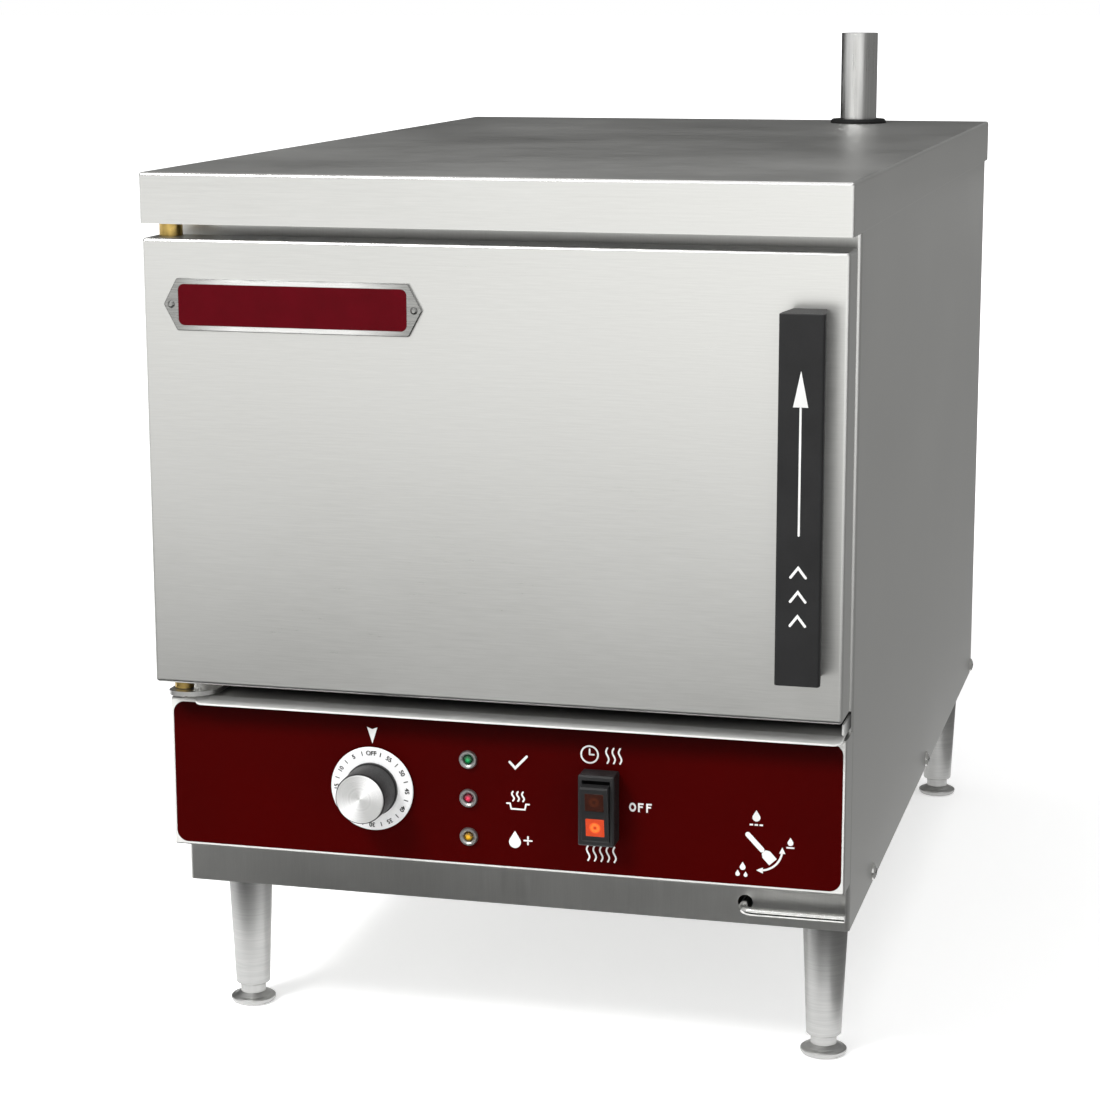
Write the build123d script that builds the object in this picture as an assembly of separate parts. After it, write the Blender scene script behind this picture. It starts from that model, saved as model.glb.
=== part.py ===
from build123d import *
import math
import os

# Countertop convection steamer with a side-hinged door, a lift latch and a vent pipe.
# Millimetres, +Z up. X runs across the front, Y runs from the front to the back.
# Pieces are drawn with Y measured back from the front face of the top cover and with Z
# measured up from the floor. They are moved to the part's origin when they are written.

# Driving dimensions: the casing
COVER_WIDTH = 460.0
COVER_DEPTH = 775.0
COVER_TOP = 591.3
LIP_HEIGHT = 32.7
COVER_SHEET = 1.5
COVER_BEND = 2.2
COVER_RETURN = 5.5
COVER_OVERHANG = 2.0
BODY_FRONT = 47.7
BODY_SHEET = 1.2
BODY_BEND = 3.0
BASE_HEIGHT = 105.6
BASE_FLANGE = 21.0
REAR_RETURN = 14.0
FLOOR_SLOTS = 7
FLOOR_SLOT_LENGTH = 60.0
FLOOR_SLOT_WIDTH = 5.0
LOUVRE_ROWS = 6
LOUVRE_WIDTH = 63.8
LOUVRE_HEIGHT = 11.0
LOUVRE_PROUD = 5.0
LOUVRE_BEND = 0.35
LOUVRE_FROM_BASE = 110.0
LOUVRE_FROM_TOP = 70.0
LOUVRE_COLUMNS = (-102.6, 22.8)

# The control housing and the gutter
PANEL_RISE = 32.9
PANEL_HEIGHT = 101.6
PANEL_FRONT = 23.0
OVERLAY_SHEET = 0.5
OVERLAY_MARGIN = 0.8
WINDOW_MARGIN = 20.0
GUTTER_FLOOR = 3.9
GUTTER_LIP_DROP = 3.0
GUTTER_FRONT = 10.0
GUTTER_BEND_Y = 20.0
GUTTER_UPSTAND = 9.0
GUTTER_START = 21.0
GUTTER_END_HEIGHT = 8.0
GUTTER_CORNER = 6.0
GUTTER_END_TOE = 4.0

# The door
DOOR_SIDE_INSET = 1.8
DOOR_FRONT = -1.5
DOOR_THICKNESS = 29.0
DOOR_TOP_GAP = 8.9
DOOR_BOTTOM_GAP = 16.7
DOOR_SHEET = 1.2
DOOR_BEND = 2.4
DOOR_LIP = 8.0
LINER_MARGIN = 3.0
GASKET_WIDTH = 14.0
GASKET_GAP = 0.3
GASKET_INSET = 6.0
BOSS_DEPTH = 11.0
BOSS_MARGIN = 2.0
BLOCK_FRONT = 6.5

# The cooking chamber
CHAMBER_SIDE_SPACE = 60.0
CHAMBER_ABOVE = 77.3
CHAMBER_BELOW = 55.9
CHAMBER_SHEET = 1.5
CHAMBER_COVE = 12.0
CHAMBER_FLANGE = 25.0
WELL_COVE = 10.0
REAR_SPACE = 160.0
WELL_DEPTH = 25.0
WELL_SIDE = 30.0
WELL_FRONT = 44.0
WELL_REAR = 130.0
INSULATION = 20.0
DRAIN_INSET = 35.0

# The pan racks
LEDGE_COUNT = 3
LEDGE_PITCH = 66.0
LEDGE_WIDTH = 13.0
RACK_SHEET = 1.5
RACK_FRONT = 24.0
RACK_REAR = 50.0
RACK_LIFT = 12.0
RACK_FROM_FLOOR = 18.0
RACK_BAYS = 4
RACK_WEB = 8.0
STUD_NECK = 3.0
STUD_HEAD = 5.5
STUD_STANDOFF = 1.8
STUD_INSET = 50.0
HEAD_THICKNESS = 1.5
RACK_CORNER = 4.5
LEDGE_SETBACK = 3.0
WINDOW_ABOVE_LEDGE = 9.6
WINDOW_BELOW_LEDGE = 14.4

# The fan
WHEEL_RADIUS = 72.0
WHEEL_DEPTH = 18.0
BLADE_COUNT = 12
BLADE_SHEET = 1.6
SHAFT_RADIUS = 4.0
MOTOR_RADIUS = 44.0
MOTOR_LENGTH = 78.0
SPACER_LENGTH = 9.0
GUARD_STANDOFF = 30.0
GUARD_WIDTH = 280.0
GUARD_MARGIN = 14.0
GUARD_SHEET = 1.2
GUARD_SLOTS = 9
SLOT_END_ROUND = 0.48
BLADE_ROOT = 25.9
BLADE_RIM_GAP = 2.0
BLADE_LEAN = 10.0
BLADE_TIP = 16.0
HUB_RADIUS = 12.0
INLET_RADIUS = 54.0
WHEEL_GAP = 4.0
MOTOR_FLANGE = 6.0
MOTOR_STEP = 4.0
MOTOR_DRUM = 39.7
MOTOR_NOSE = 12.0
MOTOR_END = 31.7
MOTOR_AIR_GAP = 6.0
SPACER_PLACE = 27.3
SPACER_RADIUS = 4.0

# The heating plate and the thermostat
HEATER_HALF = 105.0
HEATER_INSET = 30.0
HEATER_THICKNESS = 10.0
HEATER_CORNER = 12.0
RIB_HALF = 9.0
RIB_INSET = 20.0
RIB_HEIGHT = 7.0
POST_INSET = 8.0
POST_LENGTH = 14.0
POST_RADIUS = 3.0
THERMOSTAT_X = -131.0
THERMOSTAT_Y = 200.0
THERMOSTAT_WIDTH = 38.0
THERMOSTAT_DEPTH = 40.0
THERMOSTAT_HEIGHT = 32.0
RESET_LENGTH = 8.0
RESET_RADIUS = 5.0
BULB_RADIUS = 3.0
BULB_LENGTH = 90.0

# The vent pipe
VENT_RADIUS = 15.25
VENT_WALL = 1.2
VENT_TOP_ABOVE = 75.6
VENT_FROM_SIDE = 105.8
VENT_FROM_REAR = 48.0
VENT_DROP = 95.0
VENT_BEND = 38.0
GROMMET_RADIUS = 23.5
GROMMET_HEIGHT = 3.5
GROMMET_NECK = 18.0
GROMMET_FLARE = 1.6
GROMMET_BELOW = 2.0
GROMMET_SLOPE = 1.5
VENT_STEP = 0.25
VENT_STEP_GAP = 1.0

# The drain
LEVER_FROM_SIDE = 68.3
LEVER_HEIGHT = 14.7
LEVER_FORWARD = 17.7
LEVER_REACH = 68.0
LEVER_RADIUS = 2.7
LEVER_BEND = 8.0
LEVER_HOLE = 5.0
VALVE_BACK = 95.0
VALVE_RADIUS = 12.8
VALVE_HALF = 22.0
BALL_RADIUS = 9.0
PIPE_RADIUS = 7.5
PIPE_WALL = 1.2
PIPE_BEND = 12.0
OUTLET_STUB = 30.0
VALVE_END = 10.0
VALVE_WAIST = 1.2
VALVE_NECK = 8.0
NECK_WALL = 3.0
STEM_SEAT = 5.4
NIPPLE_RADIUS = 8.6
NIPPLE_BORE = 6.0
NIPPLE_COLLAR = 11.5
NIPPLE_THROAT = 9.0
NIPPLE_RELIEF = 8.3
NIPPLE_INSIDE = 7.5
NIPPLE_SOCKET = 6.0
NIPPLE_NUT = 5.0

# The legs and feet
LEG_FROM_SIDE = 23.6
FRONT_LEG_Y = 101.7
REAR_LEG_FROM_BACK = 37.0
LEG_TOP_RADIUS = 15.7
LEG_BOTTOM_RADIUS = 11.9
LEG_BOTTOM = 14.5
LEG_STUD = 5.0
MOUNT_PLATE = 46.0
MOUNT_THICKNESS = 5.0
FOOT_RADIUS = 15.7
FOOT_HEIGHT = 5.5
FOOT_NECK = 8.8
FOOT_STUD = 6.0
FOOT_STUD_LENGTH = 38.0
FOOT_TRAVEL = 20.0
FOOT_SOLE = 12.5
FOOT_ROUND = 0.8
LEG_COLLAR = 3.0
MOUNT_CORNER = 3.0

# The hinge
PIN_RADIUS = 4.0
PIN_FROM_EDGE = 11.2
PIN_Y = 21.0
BRACKET_SHEET = 3.0
BRACKET_LEFT = 8.0
BRACKET_RIGHT = 24.0
BRACKET_FRONT = 13.0
BRACKET_ROUND = 20.0
BRACKET_TAB = 27.0
LOWER_FLANGE = 6.3
UPPER_FLANGE = 7.6
BUSH_RADIUS = 5.2
BUSH_LENGTH = 15.0
LOWER_BUSH_HEIGHT = 8.0
UPPER_BUSH_HEIGHT = 9.2
PIN_HEAD = 2.5

# The handle and the latch
HANDLE_FROM_EDGE = 23.9
HANDLE_WIDTH = 28.0
HANDLE_BACK_WIDTH = 20.5
HANDLE_DEPTH = 29.7
HANDLE_LENGTH = 228.0
HANDLE_BELOW_TOP = 34.2
HANDLE_STUD = 4.0
HANDLE_STUD_INSET = 42.0
HANDLE_TRAVEL = 15.0
SLIDE_WIDTH = 18.0
SLIDE_SHEET = 4.0
SLIDE_Y = 5.0
HOOK_WIDTH = 5.0
HOOK_ARM = 9.0
HOOK_NOSE = 3.4
HOOK_DROP = 8.5
KEEPER_PIN = 3.0
KEEPER_PIN_Y = 38.0
KEEPER_GAP = 9.0
KEEPER_EAR = 2.0
KEEPER_HEIGHT = 26.0
KEEPER_SPACING = 128.0
HANDLE_SHOULDER = 4.0
STUD_SEAT = 10.0
SLIDE_BELOW = 22.0
HOOK_CLEARANCE = 0.4
HOOK_RAMP = 4.0
HOOK_CHAMFER = 3.0

# The badge
BADGE_HALF = 86.6
BADGE_END = 9.0
BADGE_HEIGHT = 33.4
BADGE_THICKNESS = 2.0
BADGE_FROM_EDGE = 14.6
BADGE_BELOW_TOP = 42.0
FIELD_WIDTH = 153.0
FIELD_HEIGHT = 26.5
FIELD_CORNER = 4.0
FIELD_DEPTH = 0.8
RIVET_RADIUS = 2.4
RIVET_FROM_TIP = 5.3
BADGE_ROUND = 1.5
BADGE_BEVEL = 0.5

# The controls, placed from the middle of the panel and from its bottom edge
KNOB_X = -86.2
KNOB_Z = 49.0
DIAL_RADIUS = 28.4
DIAL_SHEET = 1.5
DIAL_GAP = 1.6
KNOB_RADIUS = 17.2
KNOB_LENGTH = 24.9
CAP_RADIUS = 16.2
CAP_THICKNESS = 1.0
TIMER_SHAFT = 3.0
TIMER_BUSHING = 4.75
TIMER_BODY = 46.0
TIMER_DEPTH = 34.0
LAMP_X = -20.4
LAMP_Z = 46.7
LAMP_PITCH = 26.2
LAMP_RADIUS = 6.2
LAMP_BODY = 4.4
LENS_RADIUS = 3.0
LAMP_LENGTH = 30.0
SWITCH_X = 69.0
SWITCH_Z = 48.5
SWITCH_WIDTH = 23.8
SWITCH_HEIGHT = 47.0
SWITCH_DEPTH = 15.5
ROCKER_WIDTH = 18.0
ROCKER_HEIGHT = 38.0
ROCKER_PIVOT = 12.0
ROCKER_PROUD = 3.5
ROCKER_TILT = 8.0
ROCKER_SIDE_GAP = 0.4
ROCKER_END_GAP = 1.4
LENS_WINDOW = 12.2
LENS_SUNK = 0.1
LENS_DEPTH = 2.1
LENS_FROM_END = 4.0
ROCKER_HEEL = 2.6
HEEL_HALF = 5.0
TRUNNION = 1.5
SWITCH_BODY = 28.0
TERMINAL_PITCH = 12.0
TERMINAL_HALF = 3.2
TERMINAL_LENGTH = 8.0
TERMINAL_SHEET = 1.0
TIMER_CORNER = 4.0
TIMER_BORE_DEPTH = 14.0
TIMER_SHAFT_DEPTH = 12.0
KNOB_SKIRT = 0.8
KNOB_TAPER = 0.3
CAP_CROWN = 0.5
DIAL_EDGE = 0.5
DIAL_SLOPE = 9.0
BEZEL_INNER = 0.4
BEZEL_EDGE = 0.6
BEZEL_SLOPE = 1.6
BEZEL_CREST = 2.3
LENS_CREST = 2.1

# The water probe, the cable gland and the fan shaft
PROBE_THREAD = 5.0
PROBE_BODY = 8.0
PROBE_REACH = 26.0
PROBE_FROM_FLOOR = 20.0
GLAND_THREAD = 10.0
GLAND_BORE = 6.0
GLAND_LENGTH = 22.0
SHAFT_LENGTH = 70.0
BORE_RADIUS = 5.0
SWITCH_BEZEL = 2.0
BLOCK_WIDTH = 21.0
BLOCK_HEIGHT = 24.0
GASKET_CORNER = 6.0
GLAND_NUT = 6.0
GLAND_NUT_RISE = 4.0
GLAND_NOSE = 7.0
PROBE_ROD = 1.6
PROBE_NUT_END = 14.0
PROBE_TAIL_END = 26.0
PROBE_FROM_SIDE = 24.0
GLAND_FROM_SIDE = 75.0
GLAND_HEIGHT = 52.0

# The contactor and the terminal block
CONTACTOR_WIDTH = 55.0
CONTACTOR_Y = 150.0
CONTACTOR_DEPTH = 70.0
CONTACTOR_STEP = 38.0
CONTACTOR_HEIGHT = 56.0
CONTACTOR_SHELF = 6.0
TERMINAL_FROM_BACK = 150.0
TERMINAL_DEPTH = 28.0
WAY_COUNT = 4
WAY_PITCH = 20.0
WAY_HALF = 7.0
WAY_FLOOR = 14.0
WAY_HEIGHT = 10.0

# Screws, clearances and small shared sizes
SCREW_HEAD = 6.0
SCREW_HEAD_HEIGHT = 2.6
SCREW_SHANK = 2.4
SCREW_LENGTH = 7.0
SCREW_HEIGHT = 6.6
SIDE_SCREW_Y = (156.6, 448.3)
REAR_SCREW_INSET = 8.3
RUNNING_GAP = 0.05
LOOSE_GAP = 0.3
EDGE_ROUND = 0.6

# Places worked out from the driving dimensions
COVER_HALF = COVER_WIDTH / 2
BODY_HALF = COVER_HALF - COVER_OVERHANG
BODY_REAR = COVER_DEPTH - COVER_OVERHANG
BODY_TOP = COVER_TOP - COVER_SHEET
BODY_INSIDE = BODY_HALF - BODY_SHEET
FRONT_INSIDE = BODY_FRONT + BODY_SHEET
LIP_Z = COVER_TOP - LIP_HEIGHT
PANEL_BOTTOM = BASE_HEIGHT + PANEL_RISE
PANEL_TOP = PANEL_BOTTOM + PANEL_HEIGHT
DOOR_HALF = COVER_HALF - DOOR_SIDE_INSET
DOOR_TOP = LIP_Z - DOOR_TOP_GAP
DOOR_BOTTOM = PANEL_TOP + DOOR_BOTTOM_GAP
DOOR_BACK = DOOR_FRONT + DOOR_THICKNESS
BACK_PANEL_REAR = BODY_REAR - BODY_SHEET
BACK_PANEL_FRONT = BACK_PANEL_REAR - BODY_SHEET

CHAMBER_HALF = COVER_HALF - CHAMBER_SIDE_SPACE
CHAMBER_TOP = COVER_TOP - CHAMBER_ABOVE
CHAMBER_BOTTOM = PANEL_TOP + CHAMBER_BELOW
CHAMBER_FRONT = BODY_FRONT - CHAMBER_SHEET
CHAMBER_REAR = COVER_DEPTH - REAR_SPACE
CHAMBER_BACK = CHAMBER_REAR + CHAMBER_SHEET
WELL_HALF = CHAMBER_HALF - WELL_SIDE
WELL_START = CHAMBER_FRONT + WELL_FRONT
WELL_END = CHAMBER_REAR - WELL_REAR
WELL_FLOOR = CHAMBER_BOTTOM - WELL_DEPTH
WELL_UNDER = WELL_FLOOR - CHAMBER_SHEET
FLANGE_HALF = CHAMBER_HALF + CHAMBER_FLANGE
FAN_X = 0.0
FAN_Z = (CHAMBER_TOP + CHAMBER_BOTTOM) / 2
GASKET_INNER_HALF = CHAMBER_HALF + GASKET_INSET
GASKET_LOW = CHAMBER_BOTTOM - GASKET_INSET
GASKET_HIGH = CHAMBER_TOP + GASKET_INSET
LINER_BACK = DOOR_BACK + DOOR_SHEET

PIN_X = -DOOR_HALF + PIN_FROM_EDGE
LOWER_PLATE_TOP = DOOR_BOTTOM - LOWER_BUSH_HEIGHT - LOOSE_GAP
UPPER_PLATE_BOTTOM = DOOR_TOP + UPPER_BUSH_HEIGHT + LOOSE_GAP

HANDLE_X = DOOR_HALF - HANDLE_FROM_EDGE
HANDLE_HIGH = DOOR_TOP - HANDLE_BELOW_TOP
HANDLE_LOW = HANDLE_HIGH - HANDLE_LENGTH
HANDLE_MIDDLE = (HANDLE_HIGH + HANDLE_LOW) / 2
HANDLE_STUDS = (HANDLE_LOW + HANDLE_STUD_INSET, HANDLE_HIGH - HANDLE_STUD_INSET)
KEEPER_ZS = (HANDLE_MIDDLE - KEEPER_SPACING / 2, HANDLE_MIDDLE + KEEPER_SPACING / 2)

KNOB_HEIGHT = PANEL_BOTTOM + KNOB_Z
LAMP_HEIGHT = PANEL_BOTTOM + LAMP_Z
SWITCH_MIDDLE = PANEL_BOTTOM + SWITCH_Z
OVERLAY_FRONT = PANEL_FRONT - OVERLAY_SHEET
SWITCH_FRONT = OVERLAY_FRONT - SWITCH_DEPTH
ROCKER_Y = SWITCH_FRONT - ROCKER_PROUD + ROCKER_PIVOT
LAMP_PLACES = (("green", LAMP_PITCH), ("red", 0.0), ("amber", -LAMP_PITCH))

LEVER_X = BODY_HALF - LEVER_FROM_SIDE
LEVER_Z = BASE_HEIGHT + LEVER_HEIGHT
LEVER_Y = BODY_FRONT - LEVER_FORWARD
VALVE_Y = BODY_FRONT + VALVE_BACK
DRAIN_X = LEVER_X - VALVE_HALF - PIPE_BEND
OUTLET_X = LEVER_X + VALVE_HALF + PIPE_BEND
VENT_X = COVER_HALF - VENT_FROM_SIDE
VENT_Y = COVER_DEPTH - VENT_FROM_REAR
VENT_TOP = COVER_TOP + VENT_TOP_ABOVE
VENT_LOW = COVER_TOP - VENT_DROP

LEG_X = BODY_HALF - LEG_FROM_SIDE
REAR_LEG_Y = COVER_DEPTH - REAR_LEG_FROM_BACK
LEG_PLACES = (
    ("front_left", -LEG_X, FRONT_LEG_Y),
    ("front_right", LEG_X, FRONT_LEG_Y),
    ("rear_left", -LEG_X, REAR_LEG_Y),
    ("rear_right", LEG_X, REAR_LEG_Y),
)
SCREW_Z = BASE_HEIGHT + SCREW_HEIGHT
SCREW_YS = SIDE_SCREW_Y + (BODY_REAR - REAR_SCREW_INSET,)

RACK_OUTER = CHAMBER_HALF - STUD_STANDOFF
RACK_INNER = RACK_OUTER - RACK_SHEET
RACK_Y0 = CHAMBER_FRONT + RACK_FRONT
RACK_Y1 = CHAMBER_REAR - RACK_REAR
LEDGE_TOPS = tuple(CHAMBER_BOTTOM + LEDGE_PITCH * (level + 1) for level in range(LEDGE_COUNT))
RACK_TOP = LEDGE_TOPS[-1]
RACK_LOW = CHAMBER_BOTTOM + RACK_FROM_FLOOR
STUD_PLACES = tuple(
    (y, z)
    for y in (RACK_Y0 + STUD_INSET, RACK_Y1 - STUD_INSET)
    for z in (LEDGE_TOPS[0] - LEDGE_PITCH / 3, LEDGE_TOPS[-1] - LEDGE_PITCH / 2)
)

BOSS_HALF = GASKET_INNER_HALF - BOSS_MARGIN
BOSS_LOW = GASKET_LOW + BOSS_MARGIN
BOSS_HIGH = GASKET_HIGH - BOSS_MARGIN
BADGE_X = -DOOR_HALF + BADGE_FROM_EDGE + BADGE_HALF
BADGE_Z = DOOR_TOP - BADGE_BELOW_TOP
BADGE_RIVETS = (BADGE_X - BADGE_HALF + RIVET_FROM_TIP, BADGE_X + BADGE_HALF - RIVET_FROM_TIP)
DRAIN_Y = VALVE_Y
PROBE_X = -CHAMBER_HALF + PROBE_FROM_SIDE
PROBE_Z = CHAMBER_BOTTOM + PROBE_FROM_FLOOR
GLAND_X = -BODY_HALF + GLAND_FROM_SIDE
GLAND_Z = BASE_HEIGHT + GLAND_HEIGHT
SHAFT_BORE = SHAFT_LENGTH - WHEEL_DEPTH - WHEEL_GAP - CHAMBER_SHEET - SPACER_LENGTH + 1
BACK_SCREWS = tuple(
    (x * (BODY_HALF - REAR_RETURN / 2), z)
    for x in (-1, 1)
    for z in (SCREW_Z, (BASE_HEIGHT + BODY_TOP) / 2, LIP_Z - 2 * SCREW_HEAD)
)

# The overall depth runs from the front of the handle to the end of the drain outlet.
HANDLE_REAR = DOOR_FRONT - LOOSE_GAP
FRONT_MOST = HANDLE_REAR - HANDLE_DEPTH
REAR_MOST = BODY_REAR + OUTLET_STUB
NIPPLE_START = BACK_PANEL_FRONT - BODY_SHEET - NIPPLE_INSIDE
MIDDLE_Y = (FRONT_MOST + REAR_MOST) / 2


def slab(x0, x1, y0, y1, z0, z1):
    """A box between two opposite corners."""
    middle = ((x0 + x1) / 2, (y0 + y1) / 2, (z0 + z1) / 2)
    return Pos(*middle) * Box(x1 - x0, y1 - y0, z1 - z0)


def bar(start, direction, length, radius):
    """A round bar from a point along a direction."""
    return Plane(origin=start, z_dir=direction) * Pos(0, 0, length / 2) * Cylinder(radius, length)


def turned(outline, centre, direction):
    """A solid of revolution: the outline gives (radius, distance along the direction)."""
    face = make_face(Polyline(*outline, close=True))
    upright = revolve(Rot(90, 0, 0) * face, Axis.Z)
    return Plane(origin=centre, z_dir=direction) * upright


def pipe(points, bend, radius):
    """A round pipe along straight runs joined by tangent bends."""
    path = FilletPolyline(*points, radius=bend)
    return sweep((path ^ 0) * Circle(radius), path=path)


def hollow_pipe(points, bend, radius, wall):
    """A pipe with a bore right through."""
    return pipe(points, bend, radius) - pipe(points, bend, radius - wall)


def across(profile, x0, x1):
    """A (y, z) outline carried along X from x0 to x1."""
    face = make_face(Polyline(*profile, close=True))
    solid = extrude(Plane.YZ * face, amount=x1 - x0)
    return Pos(x0, 0, 0) * solid


def upright_edges(solid, x_test, y_test):
    """The vertical edges whose middle passes both tests."""
    chosen = solid.edges().filter_by(Axis.Z)
    return [edge for edge in chosen if x_test(edge.center().X) and y_test(edge.center().Y)]


def rounded_front(x0, x1, y0, y1, z0, z1, bend):
    """A box whose four front edges and four depth edges are rounded."""
    solid = slab(x0, x1, y0, y1, z0, z1)
    edges = list(solid.edges().filter_by(Axis.Y))
    edges += list(solid.faces().sort_by(Axis.Y)[0].edges())
    return fillet(edges, bend)


def slot(x, y, z, width, height, depth):
    """A slot cutter with round ends, long in Z, that runs along Y."""
    straight = height - width
    body = slab(x - width / 2, x + width / 2, y, y + depth, z - straight / 2, z + straight / 2)
    for end in (-1, 1):
        body += bar((x, y, z + end * straight / 2), (0, 1, 0), depth, width / 2)
    return body


def top_cover():
    """The folded pan on top: four lips, a return along the front lip, a hole for the vent."""
    outer = slab(-COVER_HALF, COVER_HALF, 0, COVER_DEPTH, LIP_Z, COVER_TOP)
    bends = list(outer.edges().filter_by(Axis.Z)) + list(outer.faces().sort_by(Axis.Z)[-1].edges())
    outer = fillet(bends, COVER_BEND)
    inside = COVER_HALF - COVER_SHEET
    hollow = slab(-inside, inside, COVER_SHEET, COVER_DEPTH - COVER_SHEET, LIP_Z, BODY_TOP)
    hollow = fillet(hollow.edges().filter_by(Axis.Z), COVER_BEND - COVER_SHEET)
    pan = outer - hollow
    pan += slab(-inside + EDGE_ROUND, inside - EDGE_ROUND, COVER_SHEET, COVER_SHEET + COVER_RETURN,
                LIP_Z, LIP_Z + COVER_SHEET)
    return pan - bar((VENT_X, VENT_Y, BODY_TOP), (0, 0, 1), COVER_SHEET, GROMMET_NECK)


def body_wrapper():
    """Front and both sides in one folded sheet, with short returns at the back."""
    outer = slab(-BODY_HALF, BODY_HALF, BODY_FRONT, BODY_REAR, BASE_HEIGHT, BODY_TOP)
    outer = fillet(outer.edges().filter_by(Axis.Z), BODY_BEND)
    hollow = slab(-BODY_INSIDE, BODY_INSIDE, FRONT_INSIDE, BACK_PANEL_REAR, BASE_HEIGHT, BODY_TOP)
    hollow = fillet(hollow.edges().filter_by(Axis.Z), BODY_BEND - BODY_SHEET)
    sheet = outer - hollow
    opening = BODY_HALF - REAR_RETURN
    sheet -= slab(-opening, opening, BACK_PANEL_REAR, BODY_REAR, BASE_HEIGHT, BODY_TOP)
    tub = CHAMBER_HALF + CHAMBER_SHEET
    sheet -= slab(-tub, tub, BODY_FRONT, FRONT_INSIDE,
                  CHAMBER_BOTTOM - CHAMBER_SHEET, CHAMBER_TOP + CHAMBER_SHEET)
    window = BODY_HALF - WINDOW_MARGIN
    sheet -= slab(-window, window, BODY_FRONT, FRONT_INSIDE,
                  PANEL_BOTTOM + BODY_SHEET, PANEL_TOP - BODY_SHEET)
    sheet -= bar((LEVER_X, BODY_FRONT, LEVER_Z), (0, 1, 0), BODY_SHEET, LEVER_HOLE)
    for low in (LOWER_PLATE_TOP - BRACKET_SHEET, UPPER_PLATE_BOTTOM):
        sheet -= slab(PIN_X - BRACKET_LEFT, PIN_X + BRACKET_RIGHT, BODY_FRONT, FRONT_INSIDE,
                      low, low + BRACKET_SHEET)
    for y in SCREW_YS[:-1]:
        sheet -= bar((-BODY_HALF, y, SCREW_Z), (1, 0, 0), COVER_WIDTH, SCREW_SHANK)
    sheet -= bar((-BODY_HALF, SCREW_YS[-1], SCREW_Z), (1, 0, 0), BODY_SHEET, SCREW_SHANK)
    sheet -= bar((BODY_INSIDE, SCREW_YS[-1], SCREW_Z), (1, 0, 0), BODY_SHEET, SCREW_SHANK)
    for x, z in BACK_SCREWS:
        sheet -= bar((x, BACK_PANEL_REAR, z), (0, 1, 0), BODY_SHEET, SCREW_SHANK)
    return sheet


def base_pan():
    """The floor of the casing with a flange turned up on each side and cooling slots."""
    half = BODY_INSIDE
    rear = BACK_PANEL_FRONT - BODY_SHEET
    outer = slab(-half, half, FRONT_INSIDE, BACK_PANEL_FRONT, BASE_HEIGHT, BASE_HEIGHT + BASE_FLANGE)
    outer = fillet(outer.edges().filter_by(Axis.Z), BODY_BEND - BODY_SHEET)
    inner = half - BODY_SHEET
    pan = outer - slab(-inner, inner, FRONT_INSIDE + BODY_SHEET, rear,
                       BASE_HEIGHT + BODY_SHEET, BASE_HEIGHT + BASE_FLANGE)
    pan -= bar((LEVER_X, FRONT_INSIDE, LEVER_Z), (0, 1, 0), BODY_SHEET, LEVER_HOLE)
    pan -= bar((OUTLET_X, rear, LEVER_Z), (0, 1, 0), BODY_SHEET, NIPPLE_THROAT)
    for name, x, y in LEG_PLACES:
        pan -= bar((x, y, BASE_HEIGHT), (0, 0, 1), BODY_SHEET, LEG_STUD)
    for y in SCREW_YS:
        pan -= bar((-half, y, SCREW_Z), (1, 0, 0), COVER_WIDTH, SCREW_SHANK)
    for x, z in BACK_SCREWS:
        if z == SCREW_Z:
            pan -= bar((x, rear, z), (0, 1, 0), BODY_SHEET, SCREW_SHANK)
    pitch = (CHAMBER_REAR - WELL_START) / (FLOOR_SLOTS + 1)
    for row in range(FLOOR_SLOTS):
        y = WELL_START + pitch * (row + 1)
        for x in (-FLOOR_SLOT_LENGTH, FLOOR_SLOT_LENGTH):
            pan -= slab(x - FLOOR_SLOT_LENGTH / 2, x + FLOOR_SLOT_LENGTH / 2, y, y + FLOOR_SLOT_WIDTH,
                        BASE_HEIGHT, BASE_HEIGHT + BODY_SHEET)
    return pan


def louvre(width, height, proud, y):
    """A pressed hood that stands out of the back, open along its lower side."""
    wall = BODY_SHEET
    bend = LOUVRE_BEND * height
    outline = ((y, 0), (y + proud, 0), (y + proud, bend), (y, height))
    inner = ((y, -wall), (y + proud - wall, -wall), (y + proud - wall, bend - wall / 2),
             (y, height - 2 * wall))
    shell = across(outline, -width / 2, width / 2)
    return shell - across(inner, -width / 2 + wall, width / 2 - wall)


def back_panel():
    """The flat back with two columns of louvres and the holes for outlet, cable and screws."""
    half = BODY_INSIDE - BODY_BEND + BODY_SHEET
    sheet = slab(-half, half, BACK_PANEL_FRONT, BACK_PANEL_REAR, BASE_HEIGHT, BODY_TOP - LOOSE_GAP)
    width = LOUVRE_WIDTH
    low = BASE_HEIGHT + LOUVRE_FROM_BASE
    pitch = (BODY_TOP - LOUVRE_FROM_TOP - low) / (LOUVRE_ROWS - 1)
    for row in range(LOUVRE_ROWS):
        z = low + pitch * row
        for x in LOUVRE_COLUMNS:
            sheet -= slab(x - width / 2 + BODY_SHEET, x + width / 2 - BODY_SHEET,
                          BACK_PANEL_FRONT, BACK_PANEL_REAR, z, z + LOUVRE_HEIGHT - 2 * BODY_SHEET)
            sheet += Pos(x, 0, z) * louvre(width, LOUVRE_HEIGHT, LOUVRE_PROUD, BACK_PANEL_REAR)
    sheet -= bar((OUTLET_X, BACK_PANEL_FRONT, LEVER_Z), (0, 1, 0), BODY_SHEET, NIPPLE_THROAT)
    sheet -= bar((GLAND_X, BACK_PANEL_FRONT, GLAND_Z), (0, 1, 0), BODY_SHEET, GLAND_THREAD)
    for x, z in BACK_SCREWS:
        sheet -= bar((x, BACK_PANEL_FRONT, z), (0, 1, 0), BODY_SHEET, SCREW_SHANK)
    return sheet


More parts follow.
